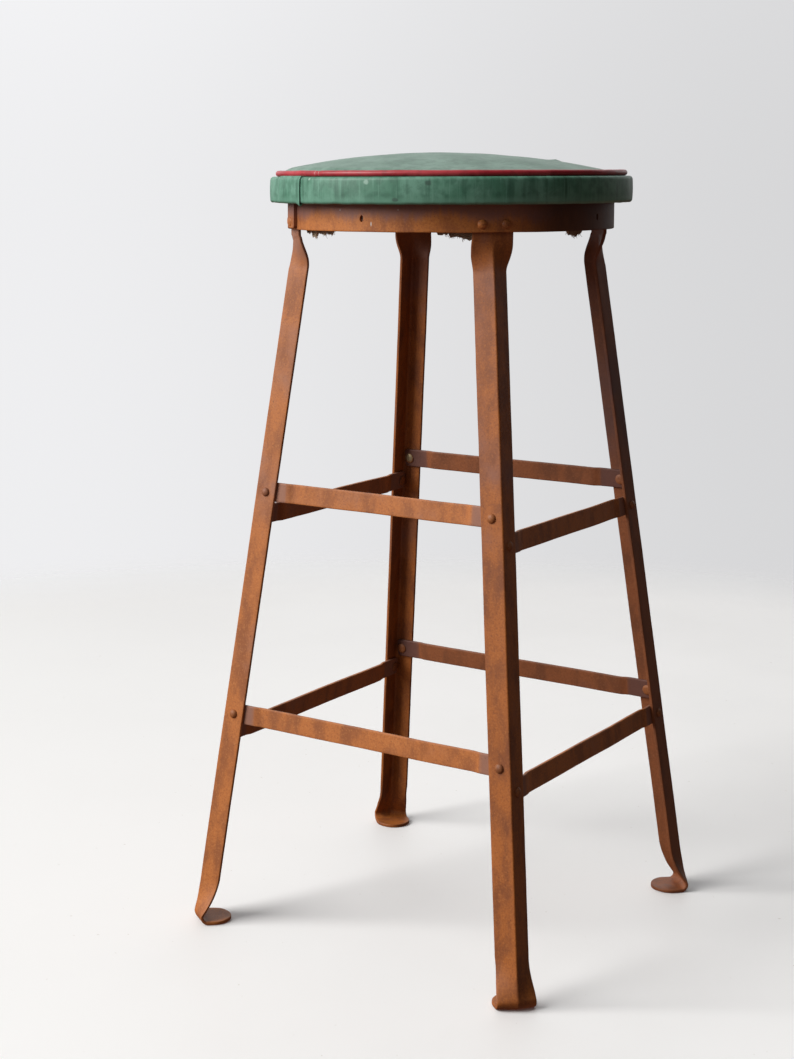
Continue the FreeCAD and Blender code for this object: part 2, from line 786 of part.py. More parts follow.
def make_band():
    """Boxing band round the edge, its ends lapped, its margin tacked under the board."""
    body = new_body("seat_band")
    sketch = new_sketch(body, "profile", "XZ_Plane")
    outline(sketch, band_path("0") + band_path("@vinyl_wall")[::-1])
    revolution(body, "turned", sketch)
    angles = ("@band_lap_from", "@band_lap_full", "@band_lap_end", "@band_lap_end")
    lap = lap_plan(body, "lap", "@seat_radius", "@vinyl_wall", angles)
    pad(body, "lapped_end", lap, "@band_top - @band_fold_top - @band_bottom", "@band_bottom")
    return body


# Assembly
def make_pieces():
    """Every node of the stool, in the order of assembly."""
    fasteners = make_fasteners()
    upper, lower = fasteners["upper_brace_rivets"], fasteners["lower_brace_rivets"]
    ring_rivets = fasteners["ring_rivets"]
    screws, board_screws = fasteners["ring_screws"], fasteners["board_screws"]
    tacks, lining_tacks = fasteners["cover_tacks"], fasteners["lining_tacks"]
    pieces = []
    for place, angle in LEGS.items():
        pieces.append(cut(f"leg_{place}", make_leg(place, angle), ring_rivets, upper, lower))
    for tier, rivets in zip(TIERS, (upper, lower)):
        for face in FACES:
            pieces.append(cut(f"{tier}_brace_{face}", make_brace(tier, face), rivets))
    pieces.append(cut("seat_ring", make_ring(), ring_rivets, screws))
    pieces.append(cut("locating_disc", make_disc(), screws, board_screws, lining_tacks))
    pieces.append(cut("seat_board", make_board(), board_screws, tacks))
    pieces.append(cut("under_lining", make_lining(), lining_tacks))
    pieces += [make_pad(), make_cover(), make_piping()]
    pieces.append(cut("seat_band", make_band(), tacks))
    pieces += list(fasteners.values())
    return pieces


pieces = make_pieces()
doc.recompute()
for item in doc.Objects:
    if "Invalid" in item.State or "Error" in item.State:
        raise RuntimeError(f"{item.Label}: {item.State}")
os.makedirs("parts", exist_ok=True)
for piece in pieces:
    shape = piece.Shape
    if shape.isNull() or not shape.isValid():
        raise RuntimeError(f"{piece.Label} has no valid shape")
    shape.exportStep(f"parts/{piece.Label}.step")
    box = shape.BoundBox
    print(f"{piece.Label}: {len(shape.Solids)} solids, {shape.Volume / 1000:.2f} cm3, "
          f"z {box.ZMin:.1f} to {box.ZMax:.1f}")
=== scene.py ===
"""Look of the round shop stool: riveted angle steel below, a green padded seat above.

Frame: metres, +Z up, origin on the floor under the middle of the seat, front at -Y.
Sizes are written in millimetres and become metres when a mesh is made.
"""

import logging
import math
from dataclasses import dataclass
from enum import Enum
from typing import Callable, Iterator, Optional, Sequence, Union

import bmesh
import bpy
from mathutils import Matrix, Vector, noise


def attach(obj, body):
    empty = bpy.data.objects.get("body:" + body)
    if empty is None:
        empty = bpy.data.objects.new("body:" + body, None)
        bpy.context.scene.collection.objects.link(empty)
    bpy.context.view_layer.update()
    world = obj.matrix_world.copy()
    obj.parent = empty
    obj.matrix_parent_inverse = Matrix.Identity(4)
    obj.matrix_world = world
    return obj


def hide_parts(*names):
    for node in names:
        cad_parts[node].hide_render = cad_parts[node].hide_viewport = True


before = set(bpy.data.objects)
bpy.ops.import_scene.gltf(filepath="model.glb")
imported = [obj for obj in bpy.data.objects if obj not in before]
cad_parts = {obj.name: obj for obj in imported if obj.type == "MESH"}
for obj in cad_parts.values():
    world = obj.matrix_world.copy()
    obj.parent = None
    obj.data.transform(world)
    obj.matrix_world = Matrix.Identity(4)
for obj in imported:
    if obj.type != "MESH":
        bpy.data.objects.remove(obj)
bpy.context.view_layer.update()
LOG = logging.getLogger("shop_stool")
MM = 0.001
NOISE_SEED = 7
Tone = tuple[float, float, float]
Outline = list[tuple[float, float, float]]


class Corner(Enum):
    """The four legs, with the angle that each stands at."""

    FRONT_RIGHT = -45
    BACK_RIGHT = 45
    BACK_LEFT = 135
    FRONT_LEFT = 225


class Side(Enum):
    """The four sides of the stool, with the angle that each faces."""

    RIGHT = 0
    BACK = 90
    LEFT = 180
    FRONT = 270


class Tier(Enum):
    """The two levels of braces."""

    UPPER = "upper"
    LOWER = "lower"


# Shader graphs
class Wire:
    """An output of a node that can be reckoned with like a number."""

    def __init__(self, graph: "Graph", socket: bpy.types.NodeSocket) -> None:
        """Keeps the output and the graph that it is in."""
        self.graph = graph
        self.socket = socket

    def __add__(self, other: "Amount") -> "Wire":
        """This plus other."""
        return self.graph.reckon("ADD", self, other)

    def __radd__(self, other: "Amount") -> "Wire":
        """Other plus this."""
        return self.graph.reckon("ADD", other, self)

    def __sub__(self, other: "Amount") -> "Wire":
        """This less other."""
        return self.graph.reckon("SUBTRACT", self, other)

    def __rsub__(self, other: "Amount") -> "Wire":
        """Other less this."""
        return self.graph.reckon("SUBTRACT", other, self)

    def __mul__(self, other: "Amount") -> "Wire":
        """This times other."""
        return self.graph.reckon("MULTIPLY", self, other)

    def __rmul__(self, other: "Amount") -> "Wire":
        """Other times this."""
        return self.graph.reckon("MULTIPLY", other, self)

    def __truediv__(self, other: "Amount") -> "Wire":
        """This over other."""
        return self.graph.reckon("DIVIDE", self, other)

    def __rtruediv__(self, other: "Amount") -> "Wire":
        """Other over this."""
        return self.graph.reckon("DIVIDE", other, self)

    def most(self, other: "Amount") -> "Wire":
        """The larger of this and other."""
        return self.graph.reckon("MAXIMUM", self, other)

    def least(self, other: "Amount") -> "Wire":
        """The smaller of this and other."""
        return self.graph.reckon("MINIMUM", self, other)

    def rise(self, low: float, high: float) -> "Wire":
        """A smooth step from 0 at low to 1 at high; low may be the larger one."""
        settings = {"interpolation_type": "SMOOTHSTEP"}
        return self.graph.wire("ShaderNodeMapRange", settings, {0: self, 1: low, 2: high})


Amount = Union[Wire, float]


class Graph:
    """A node tree that is built by calls."""

    def __init__(self, tree: bpy.types.NodeTree) -> None:
        """Keeps the tree."""
        self.tree = tree

    def node(
        self,
        kind: str,
        settings: Optional[dict[str, object]] = None,
        inputs: Optional[dict[Union[int, str], object]] = None,
    ) -> bpy.types.Node:
        """Adds a node.

        Args:
            kind: type of the node.
            settings: its properties.
            inputs: what goes into its sockets, a value or a Wire.

        Returns:
            The new node.
        """
        made = self.tree.nodes.new(kind)
        for name, value in (settings or {}).items():
            setattr(made, name, value)
        for name, value in (inputs or {}).items():
            if isinstance(value, Wire):
                self.tree.links.new(value.socket, made.inputs[name])
            else:
                made.inputs[name].default_value = value
        return made

    def wire(
        self,
        kind: str,
        settings: Optional[dict[str, object]] = None,
        inputs: Optional[dict[Union[int, str], object]] = None,
        output: Union[int, str] = 0,
    ) -> Wire:
        """Adds a node and gives one of its outputs.

        Args:
            kind: type of the node.
            settings: its properties.
            inputs: what goes into its sockets.
            output: which output is wanted.

        Returns:
            That output.
        """
        return Wire(self, self.node(kind, settings, inputs).outputs[output])

    def reckon(self, operation: str, first: Amount, second: Amount) -> Wire:
        """One step of arithmetic."""
        return self.wire("ShaderNodeMath", {"operation": operation}, {0: first, 1: second})

    def vector(self, operation: str, first: object, second: object, output: int = 0) -> Wire:
        """One step of vector arithmetic."""
        settings = {"operation": operation}
        return self.wire("ShaderNodeVectorMath", settings, {0: first, 1: second}, output)

    def blend(self, share: Amount, first: Union[Wire, Tone], second: Union[Wire, Tone]) -> Wire:
        """Mixes two colours.

        Args:
            share: how much of the second colour there is.
            first: the colour at 0.
            second: the colour at 1.

        Returns:
            The mixed colour.
        """
        ends = [tone if isinstance(tone, Wire) else (*tone, 1.0) for tone in (first, second)]
        settings = {"data_type": "RGBA"}
        return self.wire("ShaderNodeMix", settings, {0: share, 6: ends[0], 7: ends[1]}, 2)

    def here(self) -> Wire:
        """Place on the object, in metres."""
        return self.wire("ShaderNodeTexCoord", output="Object")

    def parts(self, place: Wire) -> tuple[Wire, Wire, Wire]:
        """The three coordinates of a place."""
        made = self.node("ShaderNodeSeparateXYZ", inputs={0: place})
        return tuple(Wire(self, made.outputs[axis]) for axis in range(3))

    def clouds(self, place: Wire, per_metre: float, detail: float = 3.0, rough: float = 0.55) -> Wire:
        """Soft noise from 0 to 1."""
        inputs = {"Vector": place, "Scale": per_metre, "Detail": detail, "Roughness": rough}
        return self.wire("ShaderNodeTexNoise", None, inputs)

    def stretched(self, place: Wire, scale: Tone, detail: float = 3.0) -> Wire:
        """Noise that is drawn out along some axes; scale is per metre on each."""
        return self.clouds(self.vector("MULTIPLY", place, scale), 1.0, detail)

    def value(self, name: str) -> Wire:
        """A number that the mesh carries at its points."""
        return self.wire("ShaderNodeAttribute", {"attribute_name": name}, None, "Fac")

    def relief(self, height: Wire, strength: float, depth: float) -> Wire:
        """Bump from a height, whose full range is depth in metres."""
        inputs = {"Strength": strength, "Distance": depth, "Height": height}
        return self.wire("ShaderNodeBump", None, inputs, "Normal")

    def mark(self, place: Wire, spot: "Spot") -> Wire:
        """How much a place lies in a spot, from 0 to 1."""
        away = self.vector("SUBTRACT", place, tuple(x * MM for x in spot.at))
        scaled = self.vector("DIVIDE", away, tuple(x * MM for x in spot.reach))
        length = self.vector("LENGTH", scaled, (0.0, 0.0, 0.0), 1)
        edge = self.clouds(place, 420.0, 2.0) * 0.6 - 0.3
        return (length + edge).rise(1.0, 0.45)


@dataclass(frozen=True)
class Spot:
    """A single mark on a surface, in millimetres."""

    at: Tone
    reach: Tone


# Finishes
@dataclass(frozen=True)
class Finish:
    """A surface finish that becomes a node material."""

    name: str

    def material(self) -> bpy.types.Material:
        """The material of this finish, made once."""
        found = bpy.data.materials.get(self.name)
        if found:
            return found
        made = bpy.data.materials.new(self.name)
        made.use_nodes = True
        made.node_tree.nodes.clear()
        graph = Graph(made.node_tree)
        shader = graph.node("ShaderNodeBsdfPrincipled")
        self.paint(graph, shader)
        surface = self.surface(graph, Wire(graph, shader.outputs[0]))
        graph.node("ShaderNodeOutputMaterial", None, {"Surface": surface})
        return made

    def surface(self, graph: Graph, shaded: Wire) -> Wire:
        """What reaches the output: the shader as it is."""
        return shaded

    def paint(self, graph: Graph, shader: bpy.types.Node) -> None:
        """Builds the nodes in front of the shader."""
        raise NotImplementedError

    @staticmethod
    def feed(graph: Graph, shader: bpy.types.Node, **sockets: object) -> None:
        """Gives values or wires to sockets of the shader.

        Args:
            graph: the graph of the material.
            shader: its shader node.
            **sockets: values by socket name, with _ for a space.
        """
        for name, value in sockets.items():
            socket = shader.inputs[name.replace("_", " ")]
            if isinstance(value, Wire):
                graph.tree.links.new(value.socket, socket)
            else:
                socket.default_value = value


@dataclass(frozen=True)
class AgedSteel(Finish):
    """Steel under an old orange-brown patina, slate grey where it is worn, with a painted sheen of slate
    that grows towards the top.
    """

    warm: Tone = (0.365, 0.110, 0.021)
    brown: Tone = (0.210, 0.062, 0.018)
    pale: Tone = (0.46, 0.165, 0.042)
    slate: Tone = (0.205, 0.098, 0.080)
    soot: Tone = (0.050, 0.018, 0.010)
    slate_amount: float = 1.0
    stain_and_shade_height: float = 0.0
    stain_and_shade_tone: Tone = (0.130, 0.058, 0.046)
    painted_shade_side: Optional[Tone] = None
    flecks: tuple[Spot, ...] = ()
    fleck_tone: Tone = (0.62, 0.60, 0.56)

    def paint(self, graph: Graph, shader: bpy.types.Node) -> None:
        """Patina in three scales of mottling, with stains, pits and flecks; a painted sheen higher up, and
        painted shade where asked.
        """
        place = graph.here()
        height = graph.parts(place)[2]
        wear = graph.value("wear")
        grain = graph.clouds(place, 1500.0, 2.0, 0.7)
        mottle = graph.clouds(place, 520.0, 4.0, 0.65)
        blotch = graph.stretched(place, (60.0, 60.0, 26.0), 4.0)
        zone = graph.clouds(place, 13.0, 3.0)
        colour = graph.blend(blotch.rise(0.32, 0.60), self.brown, self.warm)
        colour = graph.blend(mottle.rise(0.50, 0.72) * 0.55, colour, self.pale)
        colour = graph.blend(mottle.rise(0.48, 0.32) * 0.70, colour, self.brown)
        # Slate patches, more of them higher up: partly worn slate, partly a painted sheen of reflected light
        # that grows towards the top.
        slate = (zone + blotch * 0.4 + height * 0.35).rise(0.86, 1.16) * 0.75
        slate = (slate * self.slate_amount).most(wear.rise(0.45, 0.90) * 0.7)
        colour = graph.blend(slate, colour, self.slate)
        rub = (wear + mottle * 0.6 - 0.3).rise(0.35, 1.30)
        colour = graph.blend(rub * 0.4, colour, self.slate)
        pits = graph.clouds(place, 700.0, 3.0, 0.75)
        colour = graph.blend(pits.rise(0.40, 0.29) * 0.70, colour, self.soot)
        # Painted shade with a real stain: a darker band along the top, under the seat's edge.
        if self.stain_and_shade_height:
            colour = graph.blend(self.stain_and_shade(graph, place, height), colour, self.stain_and_shade_tone)
        # Painted shade: the side that faces away from the window turns near black.
        if self.painted_shade_side:
            along = graph.vector("DOT_PRODUCT", place, self.painted_shade_side, 1) + (blotch - 0.5) * 0.03
            colour = graph.blend(along.rise(0.040, 0.090) * 0.85, colour, self.soot)
        for spot in self.flecks:
            colour = graph.blend(graph.mark(place, spot), colour, self.fleck_tone)
        bump = blotch * 0.5 + mottle * 0.35 + grain * 0.15
        self.feed(
            graph,
            shader,
            Base_Color=colour,
            Roughness=mottle * 0.26 + slate * 0.05 + 0.40,
            Metallic=slate * 0.15 + rub * 0.15,
            Normal=graph.relief(bump, 0.50, 0.0006),
        )
        shader.inputs["Specular IOR Level"].default_value = 0.38

    def stain_and_shade(self, graph: Graph, place: Wire, height: Wire) -> Wire:
        """Dark band along the top of the ring: part stain that runs down in drips, part painted shade under
        the seat's edge.

        Args:
            graph: the graph of the material.
            place: place on the object.
            height: its height.

        Returns:
            How dark the stain and painted shade are, from 0 to 1.
        """
        runs = graph.stretched(place, (330.0, 330.0, 40.0), 3.0)
        wide = graph.stretched(place, (26.0, 26.0, 6.0), 2.0)
        level = height + (runs - 0.5) * 0.012 + (wide - 0.5) * 0.030
        edge = level.rise(self.stain_and_shade_height - 0.006, self.stain_and_shade_height + 0.006)
        return edge * (graph.clouds(place, 300.0, 3.0) * 0.5 + 0.55).least(1.0)


@dataclass(frozen=True)
class RivetSteel(AgedSteel):
    """The same patina on the rivets, with bare metal on some."""

    bare: tuple[Spot, ...] = ()
    bare_tone: Tone = (0.36, 0.30, 0.18)

    def paint(self, graph: Graph, shader: bpy.types.Node) -> None:
        """Patina of the steel, and bare metal in the given spots."""
        super().paint(graph, shader)
        place = graph.here()
        for spot in self.bare:
            share = graph.mark(place, spot)
            for name, tone in (("Base Color", self.bare_tone), ("Metallic", None)):
                before = shader.inputs[name].links[0].from_socket
                wire = Wire(graph, before)
                after = graph.blend(share, wire, tone) if tone else wire.most(share * 0.8)
                graph.tree.links.new(after.socket, shader.inputs[name])


@dataclass(frozen=True)
class Vinyl(Finish):
    """Old coated cloth, faded, stained and finely grained."""

    base: Tone = (0.058, 0.192, 0.122)
    faded: Tone = (0.138, 0.315, 0.230)
    deep: Tone = (0.022, 0.090, 0.055)
    streak: float = 0.0
    light_below: float = 0.0
    stains: tuple[Spot, ...] = ()
    stain_tone: Tone = (0.030, 0.060, 0.045)
    nicks: tuple[Spot, ...] = ()
    nick_tone: Tone = (0.62, 0.80, 0.70)
    grain_scale: float = 1300.0
    shine: float = 0.36

    def paint(self, graph: Graph, shader: bpy.types.Node) -> None:
        """Faded and deeper patches, vertical streaks, fine grain and single marks."""
        place = graph.here()
        height = graph.parts(place)[2]
        wear = graph.value("wear")
        patch = graph.clouds(place, 26.0, 4.0, 0.6)
        blotch = graph.clouds(place, 120.0, 4.0, 0.6)
        speck = graph.clouds(place, 700.0, 3.0, 0.7)
        colour = graph.blend(patch.rise(0.36, 0.66), self.base, self.faded)
        colour = graph.blend(blotch.rise(0.56, 0.36) * 0.40, colour, self.deep)
        if self.streak:
            fine = graph.stretched(place, (520.0, 520.0, 22.0), 3.0)
            broad = graph.stretched(place, (120.0, 120.0, 9.0), 2.0)
            colour = graph.blend(fine.rise(0.52, 0.72) * self.streak, colour, self.faded)
            colour = graph.blend(broad.rise(0.50, 0.30) * self.streak, colour, self.deep)
        if self.light_below:
            low = height.rise(self.light_below + 0.004, self.light_below - 0.002)
            colour = graph.blend(low * 0.5, colour, self.faded)
        colour = graph.blend(speck.rise(0.64, 0.80) * 0.30, colour, self.nick_tone)
        # Paler where worn; on the band's lapped edge this is partly a painted highlight.
        colour = graph.blend(wear * 0.45, colour, self.faded)
        for spots, tone in ((self.stains, self.stain_tone), (self.nicks, self.nick_tone)):
            for spot in spots:
                colour = graph.blend(graph.mark(place, spot) * 0.65, colour, tone)
        cells = graph.wire(
            "ShaderNodeTexVoronoi",
            {"feature": "SMOOTH_F1"},
            {"Vector": place, "Scale": self.grain_scale},
        )
        bump = cells * 0.30 + blotch * 0.45 + speck * 0.25
        self.feed(
            graph,
            shader,
            Base_Color=colour,
            Roughness=blotch * 0.16 + speck * 0.10 + self.shine,
            Normal=graph.relief(bump, 0.30, 0.0004),
        )


@dataclass(frozen=True)
class Plywood(Finish):
    """Old plywood of the seat board and the disc below it."""

    face: Tone = (0.36, 0.23, 0.12)
    grain: Tone = (0.20, 0.115, 0.055)
    glue: Tone = (0.085, 0.045, 0.022)

    def paint(self, graph: Graph, shader: bpy.types.Node) -> None:
        """Grain along X, plies in the thickness and dirt."""
        place = graph.here()
        height = graph.parts(place)[2]
        figure = graph.stretched(place, (9.0, 160.0, 160.0), 5.0)
        fibre = graph.stretched(place, (60.0, 1400.0, 1400.0), 2.0)
        dirt = graph.clouds(place, 22.0, 4.0)
        colour = graph.blend(figure.rise(0.38, 0.66), self.face, self.grain)
        colour = graph.blend(fibre.rise(0.52, 0.80) * 0.5, colour, self.grain)
        ply = graph.reckon("PINGPONG", height, 0.0012).rise(0.00095, 0.00115)
        colour = graph.blend(ply * 0.5, colour, self.glue)
        colour = graph.blend(dirt.rise(0.50, 0.72) * 0.55, colour, self.glue)
        bump = figure * 0.6 + fibre * 0.4
        self.feed(
            graph,
            shader,
            Base_Color=colour,
            Roughness=figure * 0.20 + 0.62,
            Normal=graph.relief(bump, 0.4, 0.0004),
        )


@dataclass(frozen=True)
class Burlap(Finish):
    """Coarse brown cloth, woven square."""

    thread: Tone = (0.78, 0.64, 0.46)
    gap: Tone = (0.32, 0.23, 0.15)
    dirty: Tone = (0.44, 0.29, 0.18)
    threads: float = 4200.0

    def paint(self, graph: Graph, shader: bpy.types.Node) -> None:
        """Plain weave from two crossing waves, dirty in patches."""
        place = graph.here()
        x, y, _ = graph.parts(place)
        drift = graph.clouds(place, 60.0, 2.0) * 3.0
        across = graph.reckon("SINE", x * self.threads + drift, 0.0)
        along = graph.reckon("SINE", y * self.threads + drift, 0.0)
        weave = across * along * 0.5 + 0.5
        dirt = graph.clouds(place, 34.0, 4.0, 0.6)
        slub = graph.clouds(place, 900.0, 3.0)
        colour = graph.blend(weave.rise(0.25, 0.75), self.gap, self.thread)
        colour = graph.blend(dirt.rise(0.42, 0.66) * 0.75, colour, self.dirty)
        self.feed(
            graph,
            shader,
            Base_Color=colour,
            Roughness=slub * 0.12 + 0.82,
            Normal=graph.relief(weave * 0.7 + slub * 0.3, 0.6, 0.0005),
        )
        shader.inputs["Sheen Weight"].default_value = 0.15


@dataclass(frozen=True)
class Ground(Finish):
    """Pale painted floor that fades out far from the stool."""

    tone: Tone = (0.97, 0.965, 0.965)
    painted_shade_near_window: Tone = (0.865, 0.865, 0.865)
    across: Tone = (0.813, 0.582, 0.0)
    fade: tuple[float, float] = (1.40, 1.85)

    def surface(self, graph: Graph, shaded: Wire) -> Wire:
        """The floor, see-through far from the stool."""
        away = graph.vector("LENGTH", graph.here(), (0.0, 0.0, 0.0), 1)
        clear = graph.wire("ShaderNodeBsdfTransparent")
        return graph.wire("ShaderNodeMixShader", None, {0: away.rise(*self.fade), 1: shaded, 2: clear})

    def paint(self, graph: Graph, shader: bpy.types.Node) -> None:
        """Faint clouds, a few specks, and painted shade towards the window."""
        place = graph.here()
        clouds = graph.clouds(place, 2.2, 4.0)
        specks = graph.clouds(place, 170.0, 1.0)
        side = graph.vector("DOT_PRODUCT", place, self.across, 1)
        # Painted shade: the floor is darker towards the window, which evens out the window's stronger light
        # there.
        colour = graph.blend(side.rise(-0.9, 0.4), self.painted_shade_near_window, self.tone)
        colour = graph.blend(clouds.rise(0.35, 0.70) * 0.4, colour, tuple(x * 0.90 for x in self.tone))
        colour = graph.blend(specks.rise(0.775, 0.80) * 0.35, colour, (0.42, 0.37, 0.30))
        self.feed(
            graph,
            shader,
            Base_Color=colour,
            Roughness=clouds * 0.2 + 0.45,
            Normal=graph.relief(clouds, 0.1, 0.002),
        )


# Meshes
def outward(mesh: bpy.types.Mesh, merge: float = 0.0) -> None:
    """Turns the faces of a mesh outwards, after merging its doubled points if asked."""
    work = bmesh.new()
    work.from_mesh(mesh)
    if merge:
        bmesh.ops.remove_doubles(work, verts=work.verts, dist=merge)
    bmesh.ops.recalc_face_normals(work, faces=work.faces)
    work.to_mesh(mesh)
    work.free()


def polar(radius: float, angle: float, height: float) -> Vector:
    """Point at a distance from the axis, an angle in radians and a height."""
    return Vector((radius * math.cos(angle), radius * math.sin(angle), height))


def worn(mesh: bpy.types.Mesh, shares: Sequence[float]) -> None:
    """Gives the points of a mesh their wear, from 0 to 1."""
    layer = mesh.attributes.new("wear", "FLOAT", "POINT")
    layer.data.foreach_set("value", shares)


def skin(
    name: str,
    rows: Sequence[Sequence[Vector]],
    wear: Sequence[Sequence[float]],
    around: bool = False,
) -> bpy.types.Mesh:
    """Closed mesh through rows of points.

    Args:
        name: name of the mesh.
        rows: closed rows of points in millimetres, all equally long.
        wear: how worn each point is, from 0 to 1, in rows like the points.
        around: whether the last row joins the first one again.

    Returns:
        The mesh in metres.
    """
    count, total = len(rows[0]), len(rows)
    faces = []
    for row in range(total if around else total - 1):
        here, there = row * count, (row + 1) % total * count
        for step in range(count):
            side = (step + 1) % count
            faces.append((here + step, here + side, there + side, there + step))
    if not around:
        faces.append(tuple(range(count)))
        faces.append(tuple((total - 1) * count + step for step in range(count)))
    mesh = bpy.data.meshes.new(name)
    mesh.from_pydata([point * MM for row in rows for point in row], [], faces)
    worn(mesh, [share for row in wear for share in row])
    outward(mesh)
    return mesh


def united(name: str, meshes: Sequence[bpy.types.Mesh]) -> bpy.types.Mesh:
    """One mesh of several that stay separate shells."""
    work = bmesh.new()
    for mesh in meshes:
        work.from_mesh(mesh)
    made = bpy.data.meshes.new(name)
    work.to_mesh(made)
    work.free()
    return made


def strip_outline(half: float, wall: float, rounding: float = 0.7, inner: int = 5) -> Outline:
    """Section of a flat strip with rounded edges.

    Args:
        half: half of its width.
        wall: its thickness.
        rounding: radius of its edges.
        inner: points along each face between the edges.

    Returns:
        Pairs of a place across and a place through it, from 0 down to -wall, and the wear.
    """
    rounding = min(rounding, half * 0.6, wall * 0.45)
    points = []
    corners = ((half, 0, 90), (half, -wall, 0), (-half, -wall, -90), (-half, 0, -180))
    for index, (across, through, start) in enumerate(corners):
        middle_x = across - math.copysign(rounding, across)
        middle_y = through + (rounding if through < 0 else -rounding)
        for step in range(4):
            angle = math.radians(start - step * 30)
            x = middle_x + rounding * math.cos(angle)
            y = middle_y + rounding * math.sin(angle)
            points.append((x, y, 1.0))
        if index in (1, 3):
            direction = -1 if index == 1 else 1
            near = max(half - rounding - 1.3, half * 0.3)
            for step in range(inner):
                share = step / (inner - 1) * 2 - 1
                edge = 0.25 if step in (0, inner - 1) else 0.0
                points.append((direction * share * near, through, edge))
    return points


def turned(name: str, profile: Sequence[tuple[float, float]], sides: int) -> bpy.types.Mesh:
    """Round form about Z.

    Args:
        name: name of the mesh.
        profile: pairs of a radius and a height, from pole to pole.
        sides: steps round it.

    Returns:
        A closed mesh in metres.
    """
    rows = []
    for step in range(sides):
        angle = math.tau * step / sides
        rows.append([polar(r, angle, z) for r, z in profile])
    count = len(profile)
    faces = []
    for row in range(sides):
        here, there = row * count, (row + 1) % sides * count
        for step in range(count - 1):
            faces.append((here + step, here + step + 1, there + step + 1, there + step))
    mesh = bpy.data.meshes.new(name)
    mesh.from_pydata([point * MM for row in rows for point in row], [], faces)
    outward(mesh, 1e-7)
    return mesh


def unevenness(point: Vector, size: float, amount: float, seed: float = 0.0) -> Vector:
    """A small shift that varies smoothly from place to place, in millimetres."""
    return noise.noise_vector(point / size + Vector((seed, seed * 1.7, -seed))) * amount


def eased(share: float) -> float:
    """Smooth step of a share that is kept from 0 to 1."""
    share = min(max(share, 0.0), 1.0)
    return share * share * (3 - 2 * share)


def settled(thing: bpy.types.Object) -> bpy.types.Mesh:
    """The mesh of an object with its modifiers applied."""
    graph = bpy.context.evaluated_depsgraph_get()
    graph.update()
    mesh = bpy.data.meshes.new_from_object(thing.evaluated_get(graph))
    return mesh


def loose_object(name: str, mesh: bpy.types.Mesh) -> bpy.types.Object:
    """An object in the scene that isn't declared yet."""
    made = bpy.data.objects.new(name, mesh)
    bpy.context.scene.collection.objects.link(made)
    return made


def dropped(*things: bpy.types.Object) -> None:
    """Takes helpers out of the scene."""
    for thing in things:
        bpy.data.objects.remove(thing)


def carved(mesh: bpy.types.Mesh, tools: Sequence[bpy.types.Mesh]) -> bpy.types.Mesh:
    """A mesh with the tools cut out of it.

    Args:
        mesh: what is cut.
        tools: closed meshes that cut.

    Returns:
        The cut mesh.
    """
    blank = loose_object("carving", mesh)
    cutters = [loose_object("cutter", tool) for tool in tools]
    for cutter in cutters:
        modifier = blank.modifiers.new("cut", "BOOLEAN")
        modifier.object = cutter
        modifier.operation = "DIFFERENCE"
        modifier.solver = "EXACT"
    made = settled(blank)
    dropped(blank, *cutters)
    return made


def piece(
    name: str,
    mesh: bpy.types.Mesh,
    finish: Finish,
    slot: str,
    nodes: Sequence[str] = (),
    crisp: float = 38.0,
) -> bpy.types.Object:
    """Puts a finished mesh in the scene as a piece of the stool.

    Args:
        name: name of the piece.
        mesh: its mesh, in place.
        finish: its finish.
        slot: not used.
        nodes: nodes that it stands for.
        crisp: angle in degrees above which an edge is drawn sharp.

    Returns:
        The object.
    """
    mesh.materials.clear()
    mesh.materials.append(finish.material())
    mesh.shade_smooth()
    mesh.set_sharp_from_angle(angle=math.radians(crisp))
    made = loose_object(name, mesh)
    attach(made, "root")
    if nodes:
        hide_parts(*nodes)
    LOG.info("%s: %d faces", name, len(mesh.polygons))
    return made


# Steel frame
@dataclass(frozen=True)
class Splay:
    """How the legs and the sides of the stool lean."""

    reach: float = 260.15
    slope: float = 0.1495
    corner_round: float = 1.6
    strip_wall: float = 3.2

    def line(self, height: float) -> float:
        """Corner of a leg from the axis at a height."""
        return self.reach - self.slope * height

    def corner(self, height: float) -> float:
        """Sharp corner of a leg from the axis, square to a side."""
        return (self.line(height) + self.corner_round * (math.sqrt(2) - 1)) / math.sqrt(2)

    def side(self, side: Side, height: float, inset: float = 0.0) -> Matrix:
        """Frame on a side: X along it, Y out of it, Z up its slope, in millimetres.

        Args:
            side: which side.
            height: height of the frame.
            inset: how far it lies inside the corners.

        Returns:
            The frame as a matrix.
        """
        turn = Matrix.Rotation(math.radians(side.value - 90), 4, "Z")
        lean = Matrix.Rotation(math.atan(self.slope / math.sqrt(2)), 4, "X")
        middle = Matrix.Translation((0, self.corner(height) - inset, height))
        return turn @ middle @ lean


@dataclass(frozen=True)
class Station:
    """One section of a leg, in its own plane."""

    reach: float
    height: float
    turn: float
    opening: float
    width: float
    outer: float
    root: float
    hammered: float


